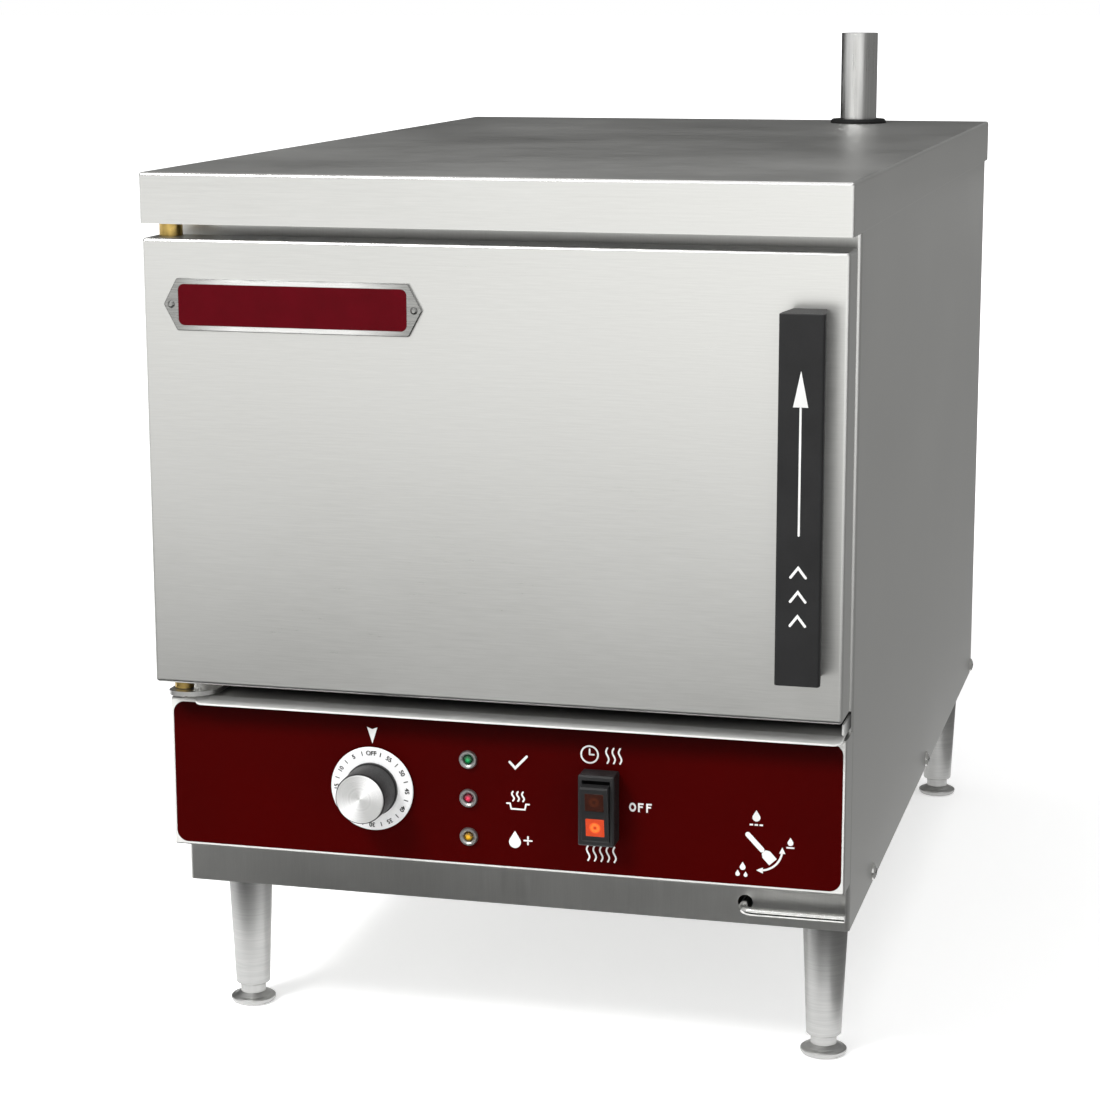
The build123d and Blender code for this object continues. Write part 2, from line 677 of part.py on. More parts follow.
def control_housing():
    """A shallow folded box in front of the casing that carries the controls."""
    outer = slab(-BODY_HALF, BODY_HALF, PANEL_FRONT, BODY_FRONT, PANEL_BOTTOM, PANEL_TOP)
    edges = [edge for edge in outer.edges().filter_by(Axis.Z) if edge.center().Y < BODY_FRONT - 1]
    outer = fillet(edges, BODY_SHEET + EDGE_ROUND)
    inner = BODY_INSIDE
    box = outer - slab(-inner, inner, PANEL_FRONT + BODY_SHEET, BODY_FRONT,
                       PANEL_BOTTOM + BODY_SHEET, PANEL_TOP - BODY_SHEET)
    return box - control_holes(PANEL_FRONT, BODY_SHEET)


def control_holes(y, depth):
    """Cutters for the timer bushing, the lamps and the switch through a sheet at y."""
    cutter = bar((KNOB_X, y, KNOB_HEIGHT), (0, 1, 0), depth, TIMER_BUSHING)
    for colour, rise in LAMP_PLACES:
        cutter += bar((LAMP_X, y, LAMP_HEIGHT + rise), (0, 1, 0), depth, LAMP_BODY)
    half_width = SWITCH_WIDTH / 2 - SWITCH_BEZEL
    half_height = SWITCH_HEIGHT / 2 - SWITCH_BEZEL
    cutter += slab(SWITCH_X - half_width, SWITCH_X + half_width, y, y + depth,
                   SWITCH_MIDDLE - half_height, SWITCH_MIDDLE + half_height)
    return cutter


def panel_overlay():
    """The printed sheet over the front of the control housing."""
    half = BODY_HALF - OVERLAY_MARGIN
    sheet = slab(-half, half, OVERLAY_FRONT, PANEL_FRONT,
                 PANEL_BOTTOM + OVERLAY_MARGIN, PANEL_TOP - OVERLAY_MARGIN)
    sheet = fillet(sheet.edges().filter_by(Axis.Y), 2 * EDGE_ROUND)
    return sheet - control_holes(OVERLAY_FRONT, OVERLAY_SHEET)


def drip_gutter():
    """A sloping tray under the door with a turned-up back and right end."""
    sheet = BODY_SHEET
    floor = PANEL_TOP + GUTTER_FLOOR
    lip = floor - GUTTER_LIP_DROP
    high = floor + GUTTER_UPSTAND
    outline = (
        (BODY_FRONT, high), (BODY_FRONT, floor - sheet), (GUTTER_BEND_Y, floor - sheet),
        (GUTTER_FRONT, lip - sheet), (GUTTER_FRONT, lip), (GUTTER_BEND_Y, floor),
        (BODY_FRONT - sheet, floor), (BODY_FRONT - sheet, high),
    )
    start = -BODY_HALF + GUTTER_START
    end = BODY_INSIDE
    plan = slab(start, end, GUTTER_FRONT, BODY_FRONT, lip - sheet, high)
    front_corners = upright_edges(plan, lambda x: True, lambda y: y < GUTTER_FRONT + 1)
    tray = across(outline, start, end) & fillet(front_corners, GUTTER_CORNER)
    end_top = floor + GUTTER_END_HEIGHT
    end_outline = (
        (BODY_FRONT - sheet, floor), (GUTTER_BEND_Y, floor),
        (GUTTER_BEND_Y - GUTTER_END_TOE, floor + GUTTER_END_TOE / 2),
        (GUTTER_BEND_Y - GUTTER_END_TOE / 2, end_top), (BODY_FRONT - sheet, end_top),
    )
    tray += across(end_outline, end - sheet, end)
    notch = PIN_X + BRACKET_RIGHT + LOOSE_GAP
    return tray - slab(start, notch, BODY_FRONT - sheet, BODY_FRONT, floor, high)


def cooking_chamber():
    """The coved liner, welded up from its front flange, arch, floor and coved back."""
    sheet = CHAMBER_SHEET
    under = CHAMBER_BOTTOM - sheet
    over = CHAMBER_TOP + sheet
    back_start = CHAMBER_REAR - CHAMBER_COVE
    flat_half = CHAMBER_HALF - CHAMBER_COVE
    liner = chamber_liner()
    flange = slab(-FLANGE_HALF, FLANGE_HALF, CHAMBER_FRONT, BODY_FRONT,
                  CHAMBER_BOTTOM - CHAMBER_FLANGE, CHAMBER_TOP + CHAMBER_FLANGE)
    flange = fillet(flange.edges().filter_by(Axis.Y), CHAMBER_COVE) - chamber_space(0)
    tube = liner & slab(-FLANGE_HALF, FLANGE_HALF, BODY_FRONT, back_start, under, over)
    flat = slab(-flat_half, flat_half, BODY_FRONT, back_start, under, CHAMBER_BOTTOM)
    back = liner & slab(-FLANGE_HALF, FLANGE_HALF, back_start, CHAMBER_BACK, under, over)
    return [flange, tube - flat, tube & flat, back]


def water_well():
    """The sunk pan in the chamber's floor that holds the water, with the drain hole."""
    below = slab(-FLANGE_HALF, FLANGE_HALF, CHAMBER_FRONT, CHAMBER_BACK,
                 WELL_UNDER, CHAMBER_BOTTOM - CHAMBER_SHEET)
    return chamber_liner() & below


def chamber_liner():
    """The sheet round the chamber and its well, with the holes in its back and its well."""
    sheet = CHAMBER_SHEET
    liner = chamber_space(sheet) - chamber_space(0)
    liner -= bar((DRAIN_X, DRAIN_Y, WELL_UNDER), (0, 0, 1), sheet, PIPE_RADIUS - PIPE_WALL)
    liner -= bar((FAN_X, CHAMBER_REAR, FAN_Z), (0, 1, 0), sheet, 2 * SHAFT_RADIUS)
    liner -= bar((VENT_X, CHAMBER_REAR, VENT_LOW), (0, 1, 0), sheet, VENT_RADIUS - VENT_WALL)
    return liner - bar((PROBE_X, CHAMBER_REAR, PROBE_Z), (0, 1, 0), sheet, PROBE_THREAD)


def chamber_space(grow):
    """The hollow of the chamber and its well, made larger all round by one sheet."""
    room = slab(-CHAMBER_HALF - grow, CHAMBER_HALF + grow, CHAMBER_FRONT, CHAMBER_REAR + grow,
                CHAMBER_BOTTOM - grow, CHAMBER_TOP + grow)
    edges = list(room.edges().filter_by(Axis.Y)) + list(room.faces().sort_by(Axis.Y)[-1].edges())
    room = fillet(edges, CHAMBER_COVE + grow)
    well = slab(-WELL_HALF - grow, WELL_HALF + grow, WELL_START - grow, WELL_END + grow,
                WELL_FLOOR - grow, CHAMBER_BOTTOM + CHAMBER_COVE)
    edges = list(well.edges().filter_by(Axis.Z)) + list(well.faces().sort_by(Axis.Z)[0].edges())
    return room + fillet(edges, WELL_COVE + grow)


def chamber_insulation():
    """A blanket over the top, the sides and the back of the chamber."""
    near = CHAMBER_HALF + CHAMBER_SHEET
    far = near + INSULATION
    high = CHAMBER_TOP + CHAMBER_SHEET
    rear = CHAMBER_BACK + INSULATION
    blanket = slab(-far, far, FRONT_INSIDE, rear, CHAMBER_BOTTOM, high + INSULATION)
    blanket -= slab(-near, near, FRONT_INSIDE, CHAMBER_BACK, CHAMBER_BOTTOM, high)
    gap = MOTOR_RADIUS + MOTOR_AIR_GAP
    blanket -= slab(FAN_X - gap, FAN_X + gap, CHAMBER_BACK, rear, FAN_Z - gap, FAN_Z + gap)
    blanket -= bar((VENT_X, CHAMBER_BACK, VENT_LOW), (0, 1, 0), INSULATION, VENT_RADIUS)
    return blanket - bar((PROBE_X, CHAMBER_BACK, PROBE_Z), (0, 1, 0), INSULATION, PROBE_BODY)


def rack_studs():
    """Eight headed studs on the side walls that the racks hook on."""
    studs = []
    for side in (-1, 1):
        for y, z in STUD_PLACES:
            head_start = STUD_STANDOFF + RACK_SHEET + LOOSE_GAP
            outline = (
                (0, 0), (STUD_NECK, 0), (STUD_NECK, head_start), (STUD_HEAD, head_start),
                (STUD_HEAD, head_start + HEAD_THICKNESS), (0, head_start + HEAD_THICKNESS),
            )
            studs.append(turned(outline, (side * CHAMBER_HALF, y, z), (-side, 0, 0)))
    return studs


def pan_rack(side):
    """A side plate with three folded ledges, two windows a bay and four keyhole slots."""
    plate = slab(RACK_INNER, RACK_OUTER, RACK_Y0, RACK_Y1, RACK_LOW, RACK_TOP)
    plate = fillet(plate.edges().filter_by(Axis.X), RACK_CORNER)
    for top in LEDGE_TOPS:
        plate += slab(RACK_INNER - LEDGE_WIDTH, RACK_INNER, RACK_Y0 + LEDGE_SETBACK,
                      RACK_Y1 - LEDGE_SETBACK, top - RACK_SHEET, top)
    first_bay = RACK_Y0 + STUD_INSET + LEDGE_WIDTH
    pitch = (RACK_Y1 - RACK_Y0 - 2 * (STUD_INSET + LEDGE_WIDTH)) / RACK_BAYS
    for level in range(LEDGE_COUNT - 1):
        low = LEDGE_TOPS[level] + WINDOW_ABOVE_LEDGE
        high = LEDGE_TOPS[level + 1] - WINDOW_BELOW_LEDGE
        for bay in range(RACK_BAYS):
            y = first_bay + pitch * bay
            hole = slab(RACK_INNER, RACK_OUTER, y + RACK_WEB, y + pitch - RACK_WEB, low, high)
            plate -= fillet(hole.edges().filter_by(Axis.X), RACK_WEB)
    for y, z in STUD_PLACES:
        neck = STUD_NECK + LOOSE_GAP
        plate -= bar((RACK_INNER, y, z), (1, 0, 0), RACK_SHEET, neck)
        plate -= slab(RACK_INNER, RACK_OUTER, y - neck, y + neck, z - RACK_LIFT, z)
        plate -= bar((RACK_INNER, y, z - RACK_LIFT), (1, 0, 0), RACK_SHEET, STUD_HEAD + LOOSE_GAP)
    return plate if side > 0 else mirror(plate, Plane.YZ)


def fan_guard():
    """A plate in front of the fan with a round field of slots, folded back to the wall."""
    half = GUARD_WIDTH / 2
    low = CHAMBER_BOTTOM + GUARD_MARGIN
    high = CHAMBER_TOP - GUARD_MARGIN
    front = CHAMBER_REAR - GUARD_STANDOFF
    outer = slab(-half, half, front, CHAMBER_REAR, low, high)
    outer = fillet(upright_edges(outer, lambda x: True, lambda y: y < front + 1), 2 * GUARD_SHEET)
    inner = half - GUARD_SHEET
    guard = outer - slab(-inner, inner, front + GUARD_SHEET, CHAMBER_REAR, low, high)
    pitch = 2 * WHEEL_RADIUS / (GUARD_SLOTS + 1)
    width = pitch / 2
    for row in range(GUARD_SLOTS):
        rise = (row + 1) * pitch - WHEEL_RADIUS
        reach = math.sqrt(WHEEL_RADIUS ** 2 - rise ** 2) - width
        cut = slab(FAN_X - reach, FAN_X + reach, front, front + GUARD_SHEET,
                   FAN_Z + rise - width / 2, FAN_Z + rise + width / 2)
        guard -= fillet(cut.edges().filter_by(Axis.Y), width * SLOT_END_ROUND)
    return guard


def blade_outline():
    """One curved blade in the plane of the wheel, from near the hub to the rim."""
    hub = BLADE_ROOT
    rim = WHEEL_RADIUS - BLADE_RIM_GAP
    middle = (hub + rim) / 2
    inner_edge = ThreePointArc((hub, 0), (middle, BLADE_LEAN), (rim, BLADE_TIP))
    outer_edge = ThreePointArc((rim, BLADE_TIP + BLADE_SHEET), (middle, BLADE_LEAN + BLADE_SHEET),
                               (hub, BLADE_SHEET))
    tip = Line((rim, BLADE_TIP), (rim, BLADE_TIP + BLADE_SHEET))
    root = Line((hub, BLADE_SHEET), (hub, 0))
    return make_face([inner_edge, tip, outer_edge, root])


def fan_wheel():
    """A radial wheel: back disc, curved blades, front ring, hub and its shaft."""
    disc = Cylinder(WHEEL_RADIUS, BLADE_SHEET)
    wheel = Pos(0, 0, BLADE_SHEET / 2) * disc
    wheel += Pos(0, 0, WHEEL_DEPTH / 2) * Cylinder(HUB_RADIUS, WHEEL_DEPTH)
    blade = extrude(blade_outline(), amount=WHEEL_DEPTH - BLADE_SHEET)
    for number in range(BLADE_COUNT):
        turn = 360.0 / BLADE_COUNT * number
        wheel += Rot(0, 0, turn) * Pos(0, 0, BLADE_SHEET) * blade
    ring = Cylinder(WHEEL_RADIUS, BLADE_SHEET) - Cylinder(INLET_RADIUS, BLADE_SHEET)
    wheel += Pos(0, 0, WHEEL_DEPTH - BLADE_SHEET / 2) * ring
    wheel -= Pos(0, 0, WHEEL_DEPTH / 2) * Cylinder(SHAFT_RADIUS, 2 * WHEEL_DEPTH)
    rear = CHAMBER_REAR - WHEEL_GAP
    placed = Plane(origin=(FAN_X, rear, FAN_Z), z_dir=(0, -1, 0)) * wheel
    shaft = bar((FAN_X, rear - WHEEL_DEPTH, FAN_Z), (0, 1, 0), SHAFT_LENGTH, SHAFT_RADIUS)
    return [placed, shaft]


def fan_motor():
    """The motor behind the chamber: ribbed body, front bearing bore and four spacers."""
    start = CHAMBER_BACK + SPACER_LENGTH
    bearing = SHAFT_RADIUS + RUNNING_GAP
    shoulder = MOTOR_LENGTH - MOTOR_NOSE
    outline = (
        (bearing, 0), (MOTOR_RADIUS, 0), (MOTOR_RADIUS, MOTOR_FLANGE),
        (MOTOR_DRUM, MOTOR_FLANGE + MOTOR_STEP),
        (MOTOR_DRUM, shoulder), (MOTOR_END, MOTOR_LENGTH), (0, MOTOR_LENGTH),
        (0, SHAFT_BORE), (bearing, SHAFT_BORE),
    )
    pieces = [turned(outline, (FAN_X, start, FAN_Z), (0, 1, 0))]
    for x in (-SPACER_PLACE, SPACER_PLACE):
        for z in (-SPACER_PLACE, SPACER_PLACE):
            at = (FAN_X + x, CHAMBER_BACK, FAN_Z + z)
            pieces.append(bar(at, (0, 1, 0), SPACER_LENGTH, SPACER_RADIUS))
    return pieces


def heater_plate():
    """The cast heating plate under the well, with two ribs and four terminal posts."""
    half = HEATER_HALF
    y0 = WELL_START + HEATER_INSET
    y1 = WELL_END - HEATER_INSET
    low = WELL_UNDER - HEATER_THICKNESS
    plate = slab(-half, half, y0, y1, low, WELL_UNDER)
    plate = fillet(plate.edges().filter_by(Axis.Z), HEATER_CORNER)
    for x in (-half / 2, half / 2):
        rib = slab(x - RIB_HALF, x + RIB_HALF, y0 + RIB_INSET, y1 - RIB_INSET, low - RIB_HEIGHT, low)
        plate += fillet(rib.edges().filter_by(Axis.Z), RIB_HALF - 1)
        for y in (y0 + POST_INSET, y1 - POST_INSET):
            plate += bar((x, y, low), (0, 0, -1), POST_LENGTH, POST_RADIUS)
    return plate


def water_level_probe():
    """A rod probe in a threaded fitting through the back wall, above the well."""
    wall_end = PROBE_REACH + CHAMBER_SHEET
    nut_end = PROBE_REACH + PROBE_NUT_END
    tail_end = PROBE_REACH + PROBE_TAIL_END
    nut = PROBE_BODY - 1
    outline = (
        (0, 0), (PROBE_ROD, 0), (PROBE_ROD, PROBE_REACH), (PROBE_THREAD, PROBE_REACH),
        (PROBE_THREAD, wall_end), (nut, wall_end), (nut, nut_end), (PROBE_THREAD, nut_end),
        (PROBE_THREAD, tail_end), (0, tail_end),
    )
    return turned(outline, (PROBE_X, CHAMBER_REAR - PROBE_REACH, PROBE_Z), (0, 1, 0))


def thermostat():
    """The safety thermostat on the base pan and its bulb under the heating plate."""
    floor = BASE_HEIGHT + BODY_SHEET
    x0 = THERMOSTAT_X - THERMOSTAT_WIDTH / 2
    y1 = THERMOSTAT_Y + THERMOSTAT_DEPTH
    body = slab(x0, x0 + THERMOSTAT_WIDTH, THERMOSTAT_Y, y1, floor, floor + THERMOSTAT_HEIGHT)
    reset = (THERMOSTAT_X, THERMOSTAT_Y, floor + THERMOSTAT_HEIGHT / 2)
    body += bar(reset, (0, -1, 0), RESET_LENGTH, RESET_RADIUS)
    bulb_z = WELL_UNDER - HEATER_THICKNESS - BULB_RADIUS
    bulb = bar((0, WELL_START + 2 * HEATER_INSET, bulb_z), (0, 1, 0), BULB_LENGTH, BULB_RADIUS)
    return [body, bulb]


def drain_pipe():
    """The pipe from the well down to the drain valve."""
    points = ((DRAIN_X, DRAIN_Y, WELL_UNDER), (DRAIN_X, DRAIN_Y, LEVER_Z),
              (LEVER_X - VALVE_HALF, VALVE_Y, LEVER_Z))
    return hollow_pipe(points, PIPE_BEND - 1, PIPE_RADIUS, PIPE_WALL)


def drain_outlet():
    """The pipe from the drain valve to the nipple in the back."""
    end = NIPPLE_START + NIPPLE_SOCKET
    points = ((LEVER_X + VALVE_HALF, VALVE_Y, LEVER_Z), (OUTLET_X, VALVE_Y, LEVER_Z),
              (OUTLET_X, end, LEVER_Z))
    return hollow_pipe(points, PIPE_BEND - 1, PIPE_RADIUS, PIPE_WALL)


def drain_nipple():
    """The stub in the back for a hose: socket, collar, waist in the wall, nut and outlet."""
    length = REAR_MOST - NIPPLE_START
    wall = BACK_PANEL_REAR - NIPPLE_START
    nut_end = wall + NIPPLE_NUT
    outline = (
        (PIPE_RADIUS, 0), (NIPPLE_COLLAR, 0), (NIPPLE_COLLAR, NIPPLE_INSIDE),
        (NIPPLE_THROAT, NIPPLE_INSIDE),
        (NIPPLE_THROAT, wall), (NIPPLE_COLLAR, wall), (NIPPLE_COLLAR, nut_end), (NIPPLE_RELIEF, nut_end),
        (NIPPLE_RELIEF, nut_end + 1), (NIPPLE_RADIUS, nut_end + 1), (NIPPLE_RADIUS, length),
        (NIPPLE_BORE, length), (NIPPLE_BORE, NIPPLE_SOCKET), (PIPE_RADIUS, NIPPLE_SOCKET),
    )
    return turned(outline, (OUTLET_X, NIPPLE_START, LEVER_Z), (0, 1, 0))


def drain_valve():
    """A ball valve body across the lever's axis, with hexagon ends and a stem neck in front."""
    centre = (LEVER_X - VALVE_HALF, VALVE_Y, LEVER_Z)
    waist = VALVE_RADIUS - VALVE_WAIST
    length = 2 * VALVE_HALF
    outline = (
        (BORE_RADIUS, 0), (VALVE_RADIUS, 0), (VALVE_RADIUS, VALVE_END), (waist, VALVE_END + 2 * VALVE_WAIST),
        (waist, length - VALVE_END - 2 * VALVE_WAIST), (VALVE_RADIUS, length - VALVE_END),
        (VALVE_RADIUS, length), (BORE_RADIUS, length),
    )
    body = turned(outline, centre, (1, 0, 0))
    neck_start = VALVE_Y - VALVE_RADIUS - VALVE_NECK
    neck = (LEVER_X, neck_start, LEVER_Z)
    body += bar(neck, (0, 1, 0), VALVE_NECK + 2, LEVER_RADIUS + NECK_WALL)
    body -= Pos(LEVER_X, VALVE_Y, LEVER_Z) * Sphere(BALL_RADIUS + LOOSE_GAP)
    return body - bar(neck, (0, 1, 0), VALVE_Y - neck_start, LEVER_RADIUS + RUNNING_GAP)


def drain_lever():
    """The bent lever rod, whose straight end is the valve's stem, and the ball that it turns."""
    stem_end = VALVE_Y - STEM_SEAT
    points = ((LEVER_X, stem_end, LEVER_Z), (LEVER_X, LEVER_Y, LEVER_Z),
              (LEVER_X + LEVER_REACH, LEVER_Y, LEVER_Z))
    lever = pipe(points, LEVER_BEND, LEVER_RADIUS)
    ball = Pos(LEVER_X, VALVE_Y, LEVER_Z) * Sphere(BALL_RADIUS)
    ball -= bar((LEVER_X, VALVE_Y, LEVER_Z - BALL_RADIUS), (0, 0, 1), 2 * BALL_RADIUS, BORE_RADIUS)
    ball -= bar((LEVER_X, stem_end, LEVER_Z), (0, -1, 0), BALL_RADIUS - STEM_SEAT, LEVER_RADIUS)
    return [lever, ball]


def vent_pipe():
    """The steam vent: a run out of the chamber, a bend, and a riser through the cover."""
    bore = VENT_RADIUS - VENT_WALL
    lower = VENT_RADIUS - VENT_STEP
    turn_y = VENT_Y - VENT_BEND
    turn_z = VENT_LOW + VENT_BEND
    step_z = COVER_TOP + GROMMET_HEIGHT + VENT_STEP_GAP
    points = ((VENT_X, CHAMBER_BACK, VENT_LOW), (VENT_X, VENT_Y, VENT_LOW), (VENT_X, VENT_Y, VENT_TOP))
    run = bar(points[0], (0, 1, 0), turn_y - CHAMBER_BACK, lower)
    run -= bar(points[0], (0, 1, 0), turn_y - CHAMBER_BACK, bore)
    around = slab(VENT_X - VENT_BEND, VENT_X + VENT_BEND, turn_y, VENT_Y + VENT_BEND,
                  VENT_LOW - VENT_BEND, turn_z)
    elbow = hollow_pipe(points, VENT_BEND, lower, lower - bore) & around
    outline = ((bore, turn_z), (lower, turn_z), (lower, step_z), (VENT_RADIUS, step_z),
               (VENT_RADIUS, VENT_TOP), (bore, VENT_TOP))
    return [run, elbow, turned(outline, (VENT_X, VENT_Y, 0), (0, 0, 1))]


def vent_grommet():
    """The rubber ring that seals the vent pipe in the cover."""
    bore = VENT_RADIUS - VENT_STEP
    flare = GROMMET_NECK + GROMMET_FLARE
    low = -COVER_SHEET - GROMMET_BELOW
    outline = (
        (bore, low), (flare, low), (flare, -COVER_SHEET), (GROMMET_NECK, -COVER_SHEET), (GROMMET_NECK, 0),
        (GROMMET_RADIUS, 0), (GROMMET_RADIUS, GROMMET_HEIGHT / 2),
        (GROMMET_RADIUS - GROMMET_SLOPE, GROMMET_HEIGHT), (bore, GROMMET_HEIGHT),
    )
    return turned(outline, (VENT_X, VENT_Y, COVER_TOP), (0, 0, 1))


def hinge_brackets():
    """Two plates with rounded noses that come through the front and are held behind it."""
    rear = FRONT_INSIDE + BRACKET_SHEET
    x0 = PIN_X - BRACKET_LEFT
    x1 = PIN_X + BRACKET_RIGHT
    pieces = []
    for low, tab_up in ((LOWER_PLATE_TOP - BRACKET_SHEET, True), (UPPER_PLATE_BOTTOM, False)):
        plate = slab(x0, x1, PIN_Y - BRACKET_FRONT, rear, low, low + BRACKET_SHEET)
        left = upright_edges(plate, lambda x: x < PIN_X, lambda y: y < PIN_Y)
        plate = fillet(left, BRACKET_LEFT - 1)
        right = upright_edges(plate, lambda x: x > x1 - 1, lambda y: y < PIN_Y)
        plate = fillet(right, BRACKET_ROUND)
        tab_low = low if tab_up else low + BRACKET_SHEET - BRACKET_TAB
        plate += slab(x0, x1, FRONT_INSIDE, rear, tab_low, tab_low + BRACKET_TAB)
        pieces.append(plate - bar((PIN_X, PIN_Y, low), (0, 0, 1), BRACKET_SHEET, PIN_RADIUS))
    return pieces


def hinge_pins():
    """The fixed pins: a domed end under the lower plate and a flat head over the upper one."""
    low = LOWER_PLATE_TOP - BRACKET_SHEET
    reach = BUSH_LENGTH - 1
    lower = bar((PIN_X, PIN_Y, low), (0, 0, 1), DOOR_BOTTOM + reach - low, PIN_RADIUS)
    dome = Pos(PIN_X, PIN_Y, low) * Sphere(PIN_RADIUS + LOOSE_GAP)
    room = 2 * PIN_RADIUS
    dome &= slab(PIN_X - room, PIN_X + room, PIN_Y - room, PIN_Y + room, low - room, low)
    upper_low = DOOR_TOP - reach
    upper_high = UPPER_PLATE_BOTTOM + BRACKET_SHEET
    upper = bar((PIN_X, PIN_Y, upper_low), (0, 0, 1), upper_high - upper_low, PIN_RADIUS)
    upper += bar((PIN_X, PIN_Y, upper_high), (0, 0, 1), PIN_HEAD, PIN_RADIUS + PIN_HEAD)
    return [lower + dome, upper]


def hinge_bushes():
    """Two flanged brass bushes in the door. The lower flange carries its weight."""
    bore = PIN_RADIUS + RUNNING_GAP
    pieces = []
    for z, way, flange, height in ((DOOR_BOTTOM, 1, LOWER_FLANGE, LOWER_BUSH_HEIGHT),
                                   (DOOR_TOP, -1, UPPER_FLANGE, UPPER_BUSH_HEIGHT)):
        outline = ((bore, -height), (flange, -height), (flange, 0), (BUSH_RADIUS, 0),
                   (BUSH_RADIUS, BUSH_LENGTH), (bore, BUSH_LENGTH))
        pieces.append(turned(outline, (PIN_X, PIN_Y, z), (0, 0, way)))
    return pieces


def hinge_blocks():
    """Two blocks in the door's corners that hold the bushes."""
    pieces = []
    x0 = -DOOR_HALF + DOOR_SHEET
    y1 = DOOR_BACK - DOOR_SHEET
    height = DOOR_TOP - DOOR_BOTTOM
    for z0 in (DOOR_BOTTOM + DOOR_SHEET, DOOR_TOP - DOOR_SHEET - BLOCK_HEIGHT):
        block = slab(x0, x0 + BLOCK_WIDTH, BLOCK_FRONT, y1, z0, z0 + BLOCK_HEIGHT)
        block = fillet(block.edges().filter_by(Axis.Y), DOOR_BEND)
        pieces.append(block - bar((PIN_X, PIN_Y, DOOR_BOTTOM), (0, 0, 1), height, BUSH_RADIUS))
    return pieces


def door_skin():
    """The outer pan of the door: rounded front edges, inward lips behind, two lift slots."""
    outer = rounded_front(-DOOR_HALF, DOOR_HALF, DOOR_FRONT, DOOR_BACK, DOOR_BOTTOM, DOOR_TOP, DOOR_BEND)
    inside = DOOR_HALF - DOOR_SHEET
    hollow = rounded_front(-inside, inside, DOOR_FRONT + DOOR_SHEET, DOOR_BACK - DOOR_SHEET,
                           DOOR_BOTTOM + DOOR_SHEET, DOOR_TOP - DOOR_SHEET, DOOR_BEND - DOOR_SHEET)
    window = DOOR_HALF - DOOR_LIP
    skin = outer - hollow
    skin -= slab(-window, window, DOOR_BACK - DOOR_SHEET, DOOR_BACK,
                 DOOR_BOTTOM + DOOR_LIP, DOOR_TOP - DOOR_LIP)
    width = 2 * (HANDLE_STUD + LOOSE_GAP)
    for z in HANDLE_STUDS:
        skin -= slot(HANDLE_X, DOOR_FRONT, z + HANDLE_TRAVEL / 2, width, HANDLE_TRAVEL + width, DOOR_SHEET)
    for z in (DOOR_BOTTOM, DOOR_TOP - DOOR_SHEET):
        skin -= bar((PIN_X, PIN_Y, z), (0, 0, 1), DOOR_SHEET, BUSH_RADIUS)
    for x in BADGE_RIVETS:
        skin -= bar((x, DOOR_FRONT, BADGE_Z), (0, 1, 0), DOOR_SHEET, RIVET_RADIUS / 2)
    return skin


def door_liner():
    """The inner panel: a drawn middle inside the gasket and two slots for the hooks."""
    half = DOOR_HALF - LINER_MARGIN
    low = DOOR_BOTTOM + LINER_MARGIN
    high = DOOR_TOP - LINER_MARGIN
    sheet = slab(-half, half, DOOR_BACK, LINER_BACK, low, high)
    sheet = fillet(sheet.edges().filter_by(Axis.Y), DOOR_BEND)
    sheet -= slab(-BOSS_HALF, BOSS_HALF, DOOR_BACK, LINER_BACK, BOSS_LOW, BOSS_HIGH)
    boss = slab(-BOSS_HALF, BOSS_HALF, DOOR_BACK, LINER_BACK + BOSS_DEPTH, BOSS_LOW, BOSS_HIGH)
    boss = fillet(list(boss.faces().sort_by(Axis.Y)[-1].edges()), BOSS_DEPTH / 2)
    inner = BOSS_HALF - DOOR_SHEET
    hollow = slab(-inner, inner, DOOR_BACK, LINER_BACK + BOSS_DEPTH - DOOR_SHEET,
                  BOSS_LOW + DOOR_SHEET, BOSS_HIGH - DOOR_SHEET)
    hollow = fillet(list(hollow.faces().sort_by(Axis.Y)[-1].edges()), (BOSS_DEPTH - DOOR_SHEET) / 2)
    sheet += boss - hollow
    side = HOOK_WIDTH / 2 + 1
    for z in KEEPER_ZS:
        high_end = z + KEEPER_PIN + HOOK_ARM + HANDLE_TRAVEL + HOOK_CHAMFER
        sheet -= slab(HANDLE_X - side, HANDLE_X + side, DOOR_BACK, LINER_BACK, z - HOOK_DROP, high_end)
    return sheet


def door_insulation():
    """The filling of the door between the hinge blocks and the latch slide."""
    x0 = -DOOR_HALF + DOOR_SHEET + BLOCK_WIDTH
    x1 = HANDLE_X - SLIDE_WIDTH / 2 - LINER_MARGIN
    return slab(x0, x1, DOOR_FRONT + DOOR_BEND, DOOR_BACK - DOOR_SHEET,
                DOOR_BOTTOM + DOOR_BEND, DOOR_TOP - DOOR_BEND)


def door_gasket():
    """The silicone seal round the opening, with a rounded crown towards the chamber."""
    back = CHAMBER_FRONT - GASKET_GAP
    outer_half = GASKET_INNER_HALF + GASKET_WIDTH
    outer = slab(-outer_half, outer_half, LINER_BACK, back,
                 GASKET_LOW - GASKET_WIDTH, GASKET_HIGH + GASKET_WIDTH)
    outer = fillet(outer.edges().filter_by(Axis.Y), GASKET_WIDTH)
    inner = slab(-GASKET_INNER_HALF, GASKET_INNER_HALF, LINER_BACK, back, GASKET_LOW, GASKET_HIGH)
    ring = outer - fillet(inner.edges().filter_by(Axis.Y), GASKET_CORNER)
    crown = list(ring.faces().sort_by(Axis.Y)[-1].edges())
    return fillet(crown, GASKET_WIDTH / 2 - 1)


